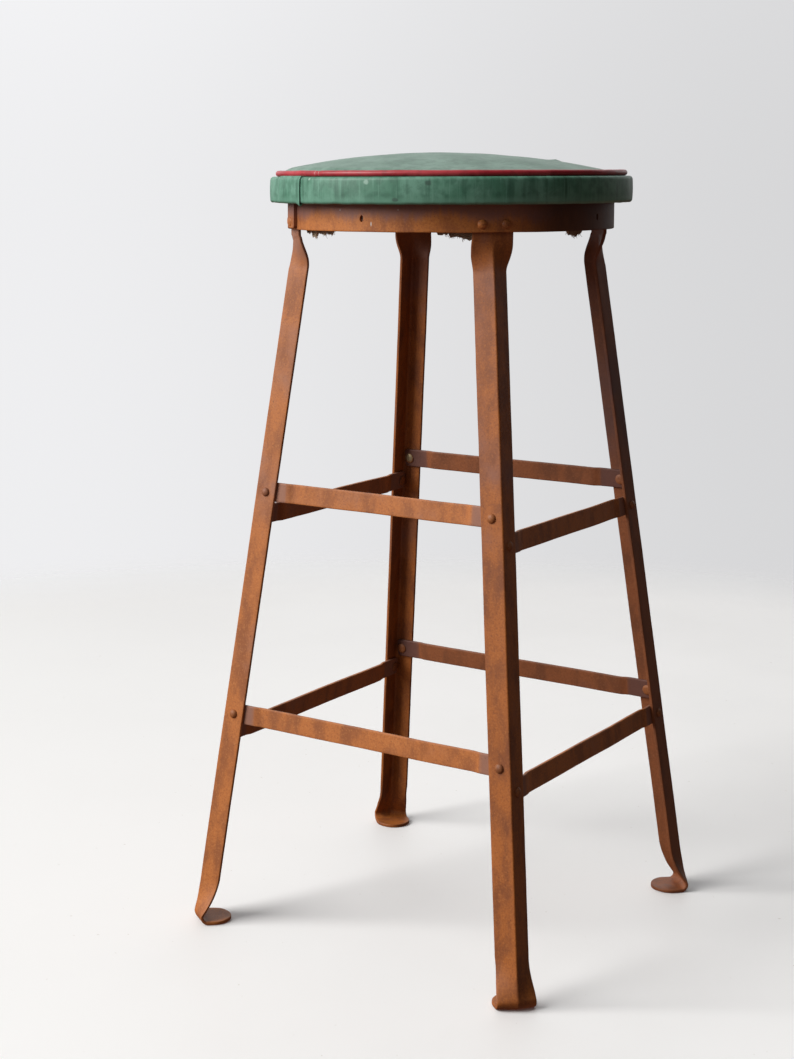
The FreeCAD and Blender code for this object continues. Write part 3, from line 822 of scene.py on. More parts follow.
@dataclass
class AngleLeg:
    """A leg of rolled angle, opened to a tab inside the ring and turned under to a foot."""

    corner: Corner
    splay: Splay = Splay()
    wall: float = 3.2
    flange: float = 22.9
    outer: float = 1.6
    root: float = 2.6
    edge: float = 0.75
    open_start: float = 655.0
    open_end: float = 688.0
    tab_half: float = 19.5
    tab_reach: float = 157.3
    tab_opening: float = 84.0
    tab_top: float = 720.5
    foot_start: float = 44.0
    bend: float = 10.0
    kick: float = 1.8
    foot_half: float = 18.4
    foot_end: float = 19.0
    foot_tip: float = 223.5
    bend_share: float = 0.82

    def outline(self, station: Station) -> Outline:
        """Section of the angle with its outer corner at the origin.

        Args:
            station: the section's opening, width and roundings.

        Returns:
            Points out, across and their wear, once round.
        """
        half = math.radians(station.opening)
        sine, cosine, tangent = math.sin(half), math.cos(half), math.tan(half)
        shift = station.outer * (1 / sine - 1)
        root_at = shift - self.wall / sine - station.root / sine
        along, inwards = Vector((-cosine, sine)), Vector((-sine, -cosine))
        sharp = Vector((shift, 0))
        edge = min(self.edge, station.width * 0.4)
        points: Outline = []
        left = math.pi / 2 - half
        for step in range(5):
            angle = left * step / 4
            x = station.outer * (math.cos(angle) - 1)
            points.append((x, station.outer * math.sin(angle), 0.2))
        first = min(station.outer / tangent, station.width - edge)
        spread = (0.06, 0.30, 0.62, 0.90)
        for share in spread:
            spot = sharp + along * (first + (station.width - edge - first) * share)
            points.append((spot.x, spot.y, 0.0))
        tip = sharp + along * station.width
        for base, start in ((0.0, 0), (self.wall, 1)):
            middle = tip - along * edge + inwards * (edge if start == 0 else self.wall - edge)
            for step in range(4):
                angle = math.radians(step * 30)
                if start == 0:
                    spot = middle + along * edge * math.sin(angle) - inwards * edge * math.cos(angle)
                else:
                    spot = middle + along * edge * math.cos(angle) + inwards * edge * math.sin(angle)
                points.append((spot.x, spot.y, 0.4))
        inner_first = (self.wall + station.root) / tangent
        inner_first = min(inner_first, station.width - edge)
        inner_sharp = sharp + inwards * self.wall
        for share in reversed(spread):
            spot = inner_sharp + along * (inner_first + (station.width - edge - inner_first) * share)
            points.append((spot.x, spot.y, 0.0))
        for step in range(5):
            angle = left * (4 - step) / 4
            x = root_at + station.root * math.cos(angle)
            points.append((x, station.root * math.sin(angle), 0.0))
        mirrored = [(x, -y, share) for x, y, share in points[-2:0:-1]]
        return points + mirrored

    def stations(self) -> Iterator[Station]:
        """Sections from the top of the tab to the tip of the foot."""
        tab = (self.tab_opening, self.tab_half, self.tab_reach, self.tab_reach - self.wall)
        for step in range(6):
            angle = math.radians(90 * (1 - step / 5))
            drop = 3.0 * (1 - math.sin(math.pi / 2 - angle))
            opening, width, outer, root = tab
            narrow = width - 3.0 * (1 - math.cos(angle))
            yield Station(self.tab_reach, self.tab_top - drop, 0, opening, narrow, outer, root, 0.3)
        for step in range(1, 5):
            height = self.tab_top - 3 - (self.tab_top - 3 - self.open_end) * step / 5
            yield Station(self.tab_reach, height, 0, *tab, 0.5)
        for step in range(19):
            yield self.opened(1 - step / 18)
        for step in range(1, 60):
            height = self.open_start + (self.foot_start - self.open_start) * step / 60
            angle = (45.0, self.flange, self.outer, self.root)
            yield Station(self.splay.line(height), height, 0, *angle, 0.0)
        for step in range(15):
            share = step / 14
            height = self.foot_start + (self.bend - self.foot_start) * share
            reach = self.splay.line(height) + self.kick * share ** 2
            yield self.flattened(self.bend_share * share, reach, height, 0.0)
        heel = self.splay.line(self.bend) + self.kick - self.bend
        for step in range(1, 13):
            share = step / 12
            turn = math.pi / 2 * share
            part = self.bend_share + (1 - self.bend_share) * share
            reach = heel + self.bend * math.cos(turn)
            yield self.flattened(part, reach, self.bend * (1 - math.sin(turn)), turn)
        yield from self.pad_stations(heel)

    def opened(self, part: float) -> Station:
        """Section below the ring: part 0 is still the angle and 1 the tab."""
        height = self.open_start + (self.open_end - self.open_start) * part
        reach = self.splay.line(height) * (1 - part) + self.tab_reach * part
        opening = 45 + (self.tab_opening - 45) * eased(part)
        width = self.flange + (self.tab_half - self.flange) * part
        outer = self.outer / (1 - part * (1 - self.outer / self.tab_reach))
        inside = self.tab_reach - self.wall
        root = self.root / (1 - part * (1 - self.root / inside))
        return Station(reach, height, 0, opening, width, outer, root, 1 - abs(2 * part - 1))

    def flattened(self, part: float, reach: float, height: float, turn: float) -> Station:
        """Section of the foot: part 0 is still the angle and 1 is flat."""
        opening = 45 + 44.2 * part ** 2
        width = self.flange + (self.foot_half - self.flange) * part
        outer = self.outer + 5 * part ** 3
        return Station(reach, height, turn, opening, width, outer, self.root + 3 * part, part)

    def pad_stations(self, heel: float) -> Iterator[Station]:
        """Sections along the flat of the foot, narrowing round its end."""
        shoulder = self.foot_tip + self.foot_end
        flat = (math.pi / 2, 89.2)
        for step in range(1, 6):
            share = step / 5
            width = self.foot_half + (self.foot_end - self.foot_half) * share
            reach = heel + (shoulder - heel) * share
            yield Station(reach, 0.0, *flat, width, 6.6, 5.6, 1.0)
        for step in range(1, 15):
            angle = math.pi / 2 * step / 14
            width = max(self.foot_end * math.cos(angle), 0.9)
            reach = shoulder - self.foot_end * math.sin(angle)
            yield Station(reach, 0.0, *flat, width, 6.6 * math.cos(angle) + 0.1, 5.6, 1.0)

    def build(self, finish: Finish) -> bpy.types.Object:
        """Makes the leg.

        Args:
            finish: its finish.

        Returns:
            The piece.
        """
        name = f"leg_{self.corner.name.lower()}"
        swing = Matrix.Rotation(math.radians(self.corner.value), 4, "Z")
        seed = self.corner.value / 10
        rows, wear = [], []
        for station in self.stations():
            row = []
            outline = self.outline(station)
            for out, across, _ in outline:
                point = Vector((
                    station.reach + out * math.cos(station.turn),
                    across,
                    station.height - out * math.sin(station.turn),
                ))
                amount = 0.10 + 0.28 * station.hammered
                point += unevenness(point, 11, amount, seed) + unevenness(point, 70, 0.22, seed)
                point.z = max(point.z, 0.0)
                row.append(swing @ point)
            rows.append(row)
            wear.append([min(share + 0.1 * station.hammered, 1.0) for _, _, share in outline])
        return piece(name, skin(name, rows, wear), finish, "frame_steel", (name,))


@dataclass
class Brace:
    """A flat strip riveted inside two flanges, its middle set a little inwards."""

    tier: Tier
    side: Side
    splay: Splay = Splay()
    wall: float = 3.2
    width: float = 19.05
    end_gap: float = 6.2
    seat: float = 29.0
    ramp: float = 7.0
    set_in: float = 1.6
    end_round: float = 3.2
    levels: tuple[tuple[str, float, float], ...] = (("upper", 435.9, 410.6), ("lower", 213.1, 191.2))

    def height(self) -> float:
        """Height of the middle of the brace."""
        high, low = next(level[1:] for level in self.levels if level[0] == self.tier.value)
        return high if self.side in (Side.FRONT, Side.BACK) else low

    def rivet_places(self, from_corner: float = 11.7) -> list[Matrix]:
        """Frames of its two rivets, Z pointing outwards, in millimetres."""
        height = self.height()
        reach = self.splay.corner(height) - from_corner
        outwards = Matrix.Rotation(-math.pi / 2, 4, "X")
        base = self.splay.side(self.side, height)
        return [base @ Matrix.Translation((end * reach, 0, 0)) @ outwards for end in (-1, 1)]

    def build(self, finish: Finish) -> bpy.types.Object:
        """Makes the brace.

        Args:
            finish: its finish.

        Returns:
            The piece.
        """
        name = f"{self.tier.value}_brace_{self.side.name.lower()}"
        height = self.height()
        half = self.splay.corner(height) - self.end_gap
        base = self.splay.side(self.side, height, self.splay.strip_wall)
        stops = [half - self.end_round * (1 - math.sin(math.radians(a))) for a in (90, 65, 42, 20, 0)]
        steps = 44
        inner = [stops[-1] * (1 - step / steps) for step in range(1, steps + 1)]
        places = [-x for x in stops + inner] + [x for x in reversed(stops + inner[:-1])]
        seed = self.side.value / 31 + len(self.tier.value + self.side.name)
        rows, wear = [], []
        for x in places:
            past = max(abs(x) - (half - self.end_round), 0)
            cut = self.end_round - math.sqrt(max(self.end_round ** 2 - past ** 2, 0))
            inset = eased((half - self.seat - abs(x)) / self.ramp) * self.set_in
            outline = strip_outline(self.width / 2 - cut, self.wall)
            near_end = eased((self.seat + 5 - (half - abs(x))) / 9)
            row = []
            for across, through, _ in outline:
                point = Vector((x, through - inset, across))
                free = 1 - near_end
                point += unevenness(point, 16, 0.10, seed)
                point += unevenness(Vector((x, 0, 0)), 60, 0.45 * free, seed)
                row.append(base @ point)
            rows.append(row)
            wear.append([max(share * 0.4, 0.85 * near_end) for _, _, share in outline])
        return piece(name, skin(name, rows, wear), finish, "frame_steel", (name,))


@dataclass
class StripRing:
    """The strip bent to a ring round the leg tabs, its outer end lapped and riveted."""

    radius: float = 160.5
    wall: float = 3.2
    bottom: float = 694.1
    width: float = 28.6
    start: float = -133.3
    leave: float = -137.0
    full: float = -133.5
    end: float = -125.5
    lift: float = 1.3
    rivet_height: float = 701.7
    spread: float = 4.05
    lap_shift: float = 0.2
    lap_spread: float = 4.9
    screw_height: float = 706.5

    def rivet_places(self) -> tuple[list[Matrix], list[Matrix]]:
        """Frames of the plain rivets and of the one through the lap, in millimetres."""
        plain, lapped = [], []
        for corner in Corner:
            at_lap = corner is Corner.FRONT_LEFT
            middle = corner.value + (self.lap_shift if at_lap else 0)
            spread = self.lap_spread if at_lap else self.spread
            for side in (-1, 1):
                through = at_lap and side > 0
                radius = self.radius + (self.wall if through else 0)
                spot = radial(middle + side * spread, radius, self.rivet_height)
                (lapped if through else plain).append(spot)
        return plain, lapped

    def screw_places(self, sunk: float = 0.0) -> list[Matrix]:
        """Frames of the screws through the ring."""
        return [radial(side.value, self.radius - sunk, self.screw_height) for side in Side]

    def holes(self) -> Iterator[bpy.types.Mesh]:
        """Cutters for the worn, oval screw holes."""
        profile = [(0, 3), (2.7, 3), (2.6, 0), (2.4, -1.6), (2.4, -5), (0, -5)]
        for spot in self.screw_places():
            tool = turned("hole", profile, 28)
            taller = Matrix.Diagonal((1.25, 0.75, 1, 1))
            tool.transform(scaled_place(spot) @ taller)
            yield tool

    def build(self, finish: Finish) -> bpy.types.Object:
        """Makes the ring.

        Args:
            finish: its finish.

        Returns:
            The piece.
        """
        last = self.end + 360
        angles = [self.start + (last - self.start) * step / 420 for step in range(421)]
        rows, wear = [], []
        for angle in angles:
            lapped = eased((angle - self.leave - 360) / (self.full - self.leave))
            to_end = (last - angle) * math.radians(self.radius)
            from_start = (angle - self.start) * math.radians(self.radius)
            cut = 0.0
            for left in (to_end, from_start):
                past = max(2.2 - left, 0)
                cut += 2.2 - math.sqrt(max(2.2 ** 2 - past ** 2, 0))
            low = self.bottom + self.lift * lapped
            top = self.bottom + self.width
            half = (top - low) / 2 - cut
            outline = strip_outline(half, self.wall, 0.7, 7)
            outside = self.radius + self.wall * lapped + 0.25 * lapped * eased(1 - to_end / 16)
            turn = math.radians(angle)
            row = []
            for across, through, _ in outline:
                reach = outside + through
                point = polar(reach, turn, (low + top) / 2 + across)
                point += unevenness(point, 34, 0.22, 3.0) * (0.3 if lapped else 1.0)
                row.append(point)
            rows.append(row)
            at_end = eased(1 - min(to_end, from_start) / 9)
            wear.append([max(share * 0.4, at_end * 0.6) for _, _, share in outline])
        mesh = carved(skin("seat_ring", rows, wear), list(self.holes()))
        return piece("seat_ring", mesh, finish, "frame_steel", ("seat_ring",))


def radial(angle: float, radius: float, height: float) -> Matrix:
    """Frame whose Z points away from the axis, in millimetres."""
    turn = Matrix.Rotation(math.radians(angle), 4, "Z")
    return turn @ Matrix.Translation((radius, 0, height)) @ Matrix.Rotation(math.pi / 2, 4, "Y")


def hanging(count: int, radius: float, height: float, start: float = 0.0) -> list[Matrix]:
    """Frames on a circle, each with its Z pointing down, in millimetres."""
    over = Matrix.Rotation(math.pi, 4, "X")
    spots = []
    for step in range(count):
        turn = Matrix.Rotation(math.radians(start + 360 * step / count), 4, "Z")
        spots.append(turn @ Matrix.Translation((radius, 0, height)) @ over)
    return spots


def scaled_place(spot: Matrix) -> Matrix:
    """A frame in millimetres as one in metres."""
    made = spot.copy()
    made.translation = spot.translation * MM
    return made


# Fasteners
class Head(Enum):
    """The kinds of fastener."""

    RIVET = "rivet"
    SCREW = "screw"
    TACK = "tack"


@dataclass(frozen=True)
class FastenerShape:
    """One fastener, its head above its origin and its shank below it."""

    head: Head
    length: float
    rise: float = 2.8

    def mesh(self) -> bpy.types.Mesh:
        """The mesh of one fastener, in metres."""
        makers: dict[Head, Callable[[], bpy.types.Mesh]] = {
            Head.RIVET: self.rivet,
            Head.SCREW: self.screw,
            Head.TACK: self.tack,
        }
        return makers[self.head]()

    def rivet(self) -> bpy.types.Mesh:
        """Domed head, shank and a hammered tail that is flatter and wider."""
        profile = [(4.45 * math.sin(a), self.rise * math.cos(a)) for a in arc(0, 86, 9)]
        profile += [(4.4, 0.0), (2.4, -0.1), (2.4, -self.length), (5.1, -self.length)]
        profile += [
            (5.4 * math.cos(a) ** 0.8, -self.length - 0.35 - 1.55 * math.sin(a)) for a in arc(0, 90, 8)
        ]
        profile[-1] = (0.0, profile[-1][1])
        return turned("rivet", profile, 26)

    def screw(self) -> bpy.types.Mesh:
        """Countersunk wood screw with a slot across its head."""
        profile = [(0.0, 0.15), (2.2, 0.12), (3.15, 0.0), (3.3, -0.3), (2.0, -2.0)]
        for step in range(int((self.length - 5) / 1.4)):
            z = -2.6 - 1.4 * step
            profile += [(1.9, z), (1.4, z - 0.5)]
        profile += [(1.2, -self.length + 3), (0.0, -self.length)]
        blank = turned("screw", profile, 22)
        box = [Vector((x, y, z)) * MM for x in (-0.45, 0.45) for y in (-4, 4) for z in (-0.9, 1)]
        faces = [(0, 1, 3, 2), (4, 6, 7, 5), (0, 4, 5, 1), (2, 3, 7, 6), (0, 2, 6, 4), (1, 5, 7, 3)]
        slot = bpy.data.meshes.new("slot")
        slot.from_pydata(box, [], faces)
        outward(slot)
        return carved(blank, [slot])

    def tack(self) -> bpy.types.Mesh:
        """Cut tack: a low uneven head on a tapering shank."""
        profile = [(0.0, 1.1), (1.4, 1.0), (2.8, 0.65), (3.8, 0.15), (3.9, -0.1), (0.8, -0.2)]
        profile += [(0.6, -self.length * 0.6), (0.0, -self.length)]
        return turned("tack", profile, 12)


def arc(start: float, stop: float, steps: int) -> list[float]:
    """Angles in radians from start to stop in degrees."""
    return [math.radians(start + (stop - start) * step / (steps - 1)) for step in range(steps)]


def bend(middle: tuple[float, float], radius: float, angles: Sequence[float]) -> list[tuple[float, float]]:
    """Points of a fold round its middle."""
    x, y = middle
    return [(x + radius * math.cos(angle), y + radius * math.sin(angle)) for angle in angles]


class RepeatTree:
    """Geometry nodes with named inputs that repeat a shape on points and dress it."""

    def __init__(
        self,
        name: str,
        taken: str,
        sockets: Sequence[tuple[str, str, object]],
        given: str,
    ) -> None:
        """Builds the tree.

        Args:
            name: name of the tree.
            taken: name of the geometry that it takes.
            sockets: name, kind and default of each further input.
            given: name of the geometry that it gives.
        """
        self.tree = bpy.data.node_groups.new(name, "GeometryNodeTree")
        self.tree.is_modifier = True
        face = self.tree.interface
        face.new_socket(taken, in_out="INPUT", socket_type="NodeSocketGeometry")
        for label, kind, value in sockets:
            socket = face.new_socket(label, in_out="INPUT", socket_type=f"NodeSocket{kind}")
            if value is not None:
                socket.default_value = value
        face.new_socket(given, in_out="OUTPUT", socket_type="NodeSocketGeometry")
        graph = Graph(self.tree)
        entry = graph.node("NodeGroupInput")
        inputs = {socket.name: Wire(graph, socket) for socket in entry.outputs if socket.name}
        dress = {"Geometry": self.shaped(graph, inputs), "Material": inputs["Finish"]}
        graph.node("NodeGroupOutput", None, {0: graph.wire("GeometryNodeSetMaterial", None, dress)})

    def shaped(self, graph: Graph, given: dict[str, Wire]) -> Wire:
        """Adds the nodes between the inputs and the finish."""
        raise NotImplementedError

    @staticmethod
    def chance(graph: Graph, seed: Amount, low: Amount, high: Amount) -> Wire:
        """A random number from low to high for each point."""
        inputs = {"Seed": seed, 2: low, 3: high}
        return graph.wire("FunctionNodeRandomValue", {"data_type": "FLOAT"}, inputs, 1)

    @staticmethod
    def placed(graph: Graph, points: Wire, shape: Wire, turn: Wire, size: Wire) -> Wire:
        """The shape on every point, made real."""
        inputs = {"Points": points, "Instance": shape, "Rotation": turn, "Scale": size}
        instances = graph.wire("GeometryNodeInstanceOnPoints", None, inputs)
        return graph.wire("GeometryNodeRealizeInstances", None, {0: instances})

    @staticmethod
    def shaken(graph: Graph, shape: Wire, per_metre: float, amount: Wire) -> Wire:
        """The shape with its points shifted by noise."""
        rough = graph.wire("ShaderNodeTexNoise", None, {"Scale": per_metre, "Detail": 1.0}, "Color")
        shift = graph.vector("SUBTRACT", rough, (0.5, 0.5, 0.5))
        shift = graph.wire("ShaderNodeVectorMath", {"operation": "SCALE"}, {0: shift, "Scale": amount})
        return graph.wire("GeometryNodeSetPosition", None, {"Geometry": shape, "Offset": shift})

    def applied(self, points: bpy.types.Mesh, values: dict[str, object]) -> bpy.types.Mesh:
        """Runs the tree on points.

        Args:
            points: the points that the shape goes on.
            values: values of its inputs by name.

        Returns:
            The result as a plain mesh.
        """
        holder = loose_object("points", points)
        modifier = holder.modifiers.new("repeat", "NODES")
        modifier.node_group = self.tree
        for item in self.tree.interface.items_tree:
            if item.name in values and item.in_out == "INPUT":
                modifier[item.identifier] = values[item.name]
        made = settled(holder)
        dropped(holder)
        return made


class FastenerTree(RepeatTree):
    """Geometry nodes that set one fastener on every point, turned to its axis."""

    def __init__(self) -> None:
        """Builds the tree with its named inputs."""
        sockets = (
            ("Fastener", "Object", None),
            ("Size spread", "Float", 0.04),
            ("Tilt", "Float", 0.05),
            ("Dents", "Float", 0.0003),
            ("Seed", "Int", 7),
            ("Finish", "Material", None),
        )
        super().__init__("fastener_row", "Places", sockets, "Fasteners")

    def shaped(self, graph: Graph, given: dict[str, Wire]) -> Wire:
        """The fasteners, each spun, tilted, sized and dented a little."""
        tilt, spread, seed = given["Tilt"], given["Size spread"], given["Seed"]
        axis = graph.wire("GeometryNodeInputNamedAttribute", {"data_type": "FLOAT_VECTOR"}, {"Name": "axis"})
        turn = graph.wire("FunctionNodeAlignRotationToVector", {"axis": "Z"}, {"Vector": axis})
        spin = self.chance(graph, seed, 0.0, math.tau)
        lean = self.chance(graph, seed + 3.0, tilt * -1.0, tilt)
        for about, angle in (((0, 0, 1), spin), ((1, 0, 0), lean)):
            step = graph.wire("FunctionNodeAxisAngleToRotation", None, {0: about, 1: angle})
            turn = graph.wire("FunctionNodeRotateRotation", {"rotation_space": "LOCAL"}, {0: turn, 1: step})
        size = self.chance(graph, seed + 5.0, 1.0 - spread, 1.0 + spread)
        shape = graph.wire("GeometryNodeObjectInfo", None, {"Object": given["Fastener"]}, "Geometry")
        solid = self.placed(graph, given["Places"], shape, turn, size)
        return self.shaken(graph, solid, 330.0, given["Dents"])


@dataclass
class FastenerRow:
    """Equal fasteners of one node, or a part of them."""

    name: str
    sets: Sequence[tuple[FastenerShape, Sequence[Matrix]]]
    slot: str
    seed: int = 7
    tilt: float = 0.05
    dents: float = 0.0003

    def build(self, tree: FastenerTree, finish: Finish) -> bpy.types.Object:
        """Sets the fasteners and makes them one plain mesh.

        Args:
            tree: the geometry nodes that place them.
            finish: their finish.

        Returns:
            The piece.
        """
        made = []
        for index, (shape, spots) in enumerate(self.sets):
            master = loose_object("master", shape.mesh())
            points = bpy.data.meshes.new("places")
            points.from_pydata([spot.translation * MM for spot in spots], [], [])
            layer = points.attributes.new("axis", "FLOAT_VECTOR", "POINT")
            for item, spot in zip(layer.data, spots):
                item.vector = spot.to_3x3() @ Vector((0, 0, 1))
            values = {
                "Fastener": master,
                "Tilt": self.tilt,
                "Dents": self.dents,
                "Seed": self.seed + index,
                "Finish": finish.material(),
            }
            made.append(tree.applied(points, values))
            dropped(master)
        mesh = united(self.name, made)
        return piece(self.name, mesh, finish, self.slot, (self.name,))


# Seat
@dataclass(frozen=True)
class SeatShape:
    """Sizes that the pieces of the seat share."""

    radius: float = 177.8
    vinyl: float = 1.2
    band_top: float = 745.0
    band_bottom: float = 719.6
    fold_top: float = 2.9
    fold_bottom: float = 2.4
    seam: float = 168.5
    margin: float = 165.0
    margin_bend: float = 171.0
    margin_height: float = 721.5
    crown: float = 768.2
    crown_round: float = 750.8
    cover_edge: float = 166.8
    board_top: float = 734.7

    def crown_at(self, radius: float) -> float:
        """Height of the crown at a distance from the axis."""
        return self.crown - self.crown_round + math.sqrt(self.crown_round ** 2 - radius ** 2)


@dataclass
class Cushion:
    """Padding under its green top panel: one crowned closed form, swollen by a cloth simulation."""

    shape: SeatShape = SeatShape()
    side: float = 175.4
    ledge: float = 743.2
    held_from: float = 158.0
    slack: float = 2.4
    cap: float = 5.0
    voxel: float = 5.0
    fuller_towards: tuple[float, float] = (-0.813, -0.582)
    fuller_by: float = 2.4

    def profile(self) -> list[tuple[float, float]]:
        """Radius and height from the pole below to the pole above."""
        low, ledge, edge = self.shape.board_top + 0.2, self.ledge, self.shape.cover_edge
        points = [(self.side * share, low) for share in (0, 0.2, 0.4, 0.6, 0.8, 0.95, 0.995)]
        points += [(self.side, low + 0.8), (self.side, (low + ledge) / 2), (self.side, ledge - 1.6)]
        points += [(self.side - 1.6, ledge), (171, ledge), (edge, ledge + 0.5)]
        for step in range(1, 34):
            radius = edge * (1 - step / 33)
            points.append((radius, self.start_height(radius)))
        return points

    def start_height(self, radius: float) -> float:
        """Height before the pad swells, lower than the crown in the middle."""
        inside = eased((self.shape.cover_edge - radius) / 60)
        return self.shape.crown_at(radius) - self.slack * inside

    def simulated(self, mesh: bpy.types.Mesh) -> bpy.types.Mesh:
        """The mesh after its top has swollen as cloth.

        Args:
            mesh: the closed form before.

        Returns:
            The swollen mesh.
        """
        pad = loose_object("pad_cloth", mesh)
        remesh = pad.modifiers.new("even", "REMESH")
        remesh.mode = "VOXEL"
        remesh.voxel_size = self.voxel * MM
        pad.data = settled(pad)
        pad.modifiers.clear()
        held = pad.vertex_groups.new(name="held")
        low = (self.ledge + 0.3) * MM
        for vertex in pad.data.vertices:
            radius = vertex.co.xy.length / MM
            loose = eased((self.held_from - radius) / 14) if vertex.co.z > low else 0.0
            held.add([vertex.index], 1 - loose, "REPLACE")
        cloth = pad.modifiers.new("cloth", "CLOTH")
        cloth.settings.quality = 6
        cloth.settings.mass = 0.4
        cloth.settings.tension_stiffness = 18
        cloth.settings.bending_stiffness = 2.5
        cloth.settings.use_pressure = True
        cloth.settings.uniform_pressure_force = 4
        cloth.settings.effector_weights.gravity = 0
        cloth.settings.vertex_group_mass = "held"
        scene = bpy.context.scene
        for step in range(1, 21):
            scene.frame_set(step)
        before = [vertex.co.copy() for vertex in pad.data.vertices]
        swollen = settled(pad)
        dropped(pad)
        scene.frame_set(1)
        for vertex, start in zip(swollen.vertices, before):
            move = vertex.co - start
            if move.length > self.cap * MM:
                vertex.co = start + move.normalized() * self.cap * MM
        return swollen

    def fitted(self, mesh: bpy.types.Mesh) -> bpy.types.Mesh:
        """Subdivides the pad and brings its crown to the seat's height and fullness.

        Args:
            mesh: the pad.

        Returns:
            The finished mesh.
        """
        thing = loose_object("pad_fine", mesh)
        subdivision = thing.modifiers.new("fine", "SUBSURF")
        subdivision.levels = subdivision.render_levels = 1
        made = settled(thing)
        dropped(thing)
        top = max(vertex.co.z for vertex in made.vertices) / MM
        edge = self.shape.cover_edge
        lean = Vector(self.fuller_towards)
        for vertex in made.vertices:
            point = vertex.co / MM
            radius = point.xy.length
            if point.z <= self.ledge + 0.6 or radius > edge:
                continue
            inside = eased((edge - radius) / 45)
            base = self.shape.crown_at(radius)
            swell = point.z - self.start_height(radius)
            gain = top - self.start_height(0)
            even = base + (swell - gain) * 0.55 * inside
            leaning = lean.dot(point.xy) / edge * self.fuller_by
            lumps = noise.noise(Vector((point.x, point.y, 40)) / 42) * 0.55
            lumps += noise.noise(Vector((point.x, point.y, 90)) / 16) * 0.16
            vertex.co.z = (even + leaning * eased((edge - radius) / 12) + lumps * inside) * MM
            vertex.co.z += self.snag(point) * MM
        return made

    def snag(self, point: Vector) -> float:
        """Height of the little torn fold on the right of the crown."""
        middle = Vector((87.5, 62.0))
        along = Vector((0.813, 0.582))
        away = point.xy - middle
        length, width = away.dot(along), away.dot(Vector((-along.y, along.x)))
        ridge = math.exp(-(width / 9) ** 2)
        slope = max(0.0, 1 - abs(length + 3) / 8) if length < 0.5 else 0.0
        return 1.5 * ridge * slope

    def build(self, finish: Finish) -> bpy.types.Object:
        """Makes the cushion.

        Args:
            finish: finish of the top panel.

        Returns:
            The piece.
        """
        mesh = turned("cushion", self.profile(), 144)
        mesh = self.simulated(mesh)
        mesh = self.fitted(mesh)
        worn(mesh, [0.0] * len(mesh.vertices))
        made = piece("cushion", mesh, finish, "vinyl_green", ("seat_padding", "seat_cover_top"), 70)
        return made


@dataclass
class Piping:
    """The red piping in the seam, a little uneven where it is sewn."""

    radius: float = 169.6
    height: float = 747.9
    round: float = 2.9
    join: float = -105.5

    def build(self, finish: Finish) -> bpy.types.Object:
        """Makes the piping.

        Args:
            finish: its finish.

        Returns:
            The piece.
        """
        rows, wear = [], []
        steps = 360
        for step in range(steps):
            angle = math.radians(self.join + 360 * (step + 0.5) / steps)
            wave = noise.noise(Vector((math.cos(angle), math.sin(angle), 5)) * 9)
            pinch = noise.noise(Vector((math.cos(angle), math.sin(angle), 8)) * 34)
            reach = self.radius + 0.35 * wave
            level = self.height + 0.25 * noise.noise(Vector((math.cos(angle), math.sin(angle), 2)) * 6)
            girth = self.round + 0.10 * pinch
            near_join = min(step + 0.5, steps - step - 0.5) * math.tau / steps * self.radius
            girth -= 0.5 * max(0.0, 1 - near_join / 4)
            row = []
            for part in range(16):
                turn = math.tau * part / 16
                row.append(polar(reach + girth * math.cos(turn), angle, level + girth * math.sin(turn)))
            rows.append(row)
            wear.append([1.0 if near_join < 1.2 else 0.0] * 16)
        mesh = skin("piping", rows, wear, around=True)
        return piece("piping", mesh, finish, "vinyl_red", ("seat_piping",), 70)


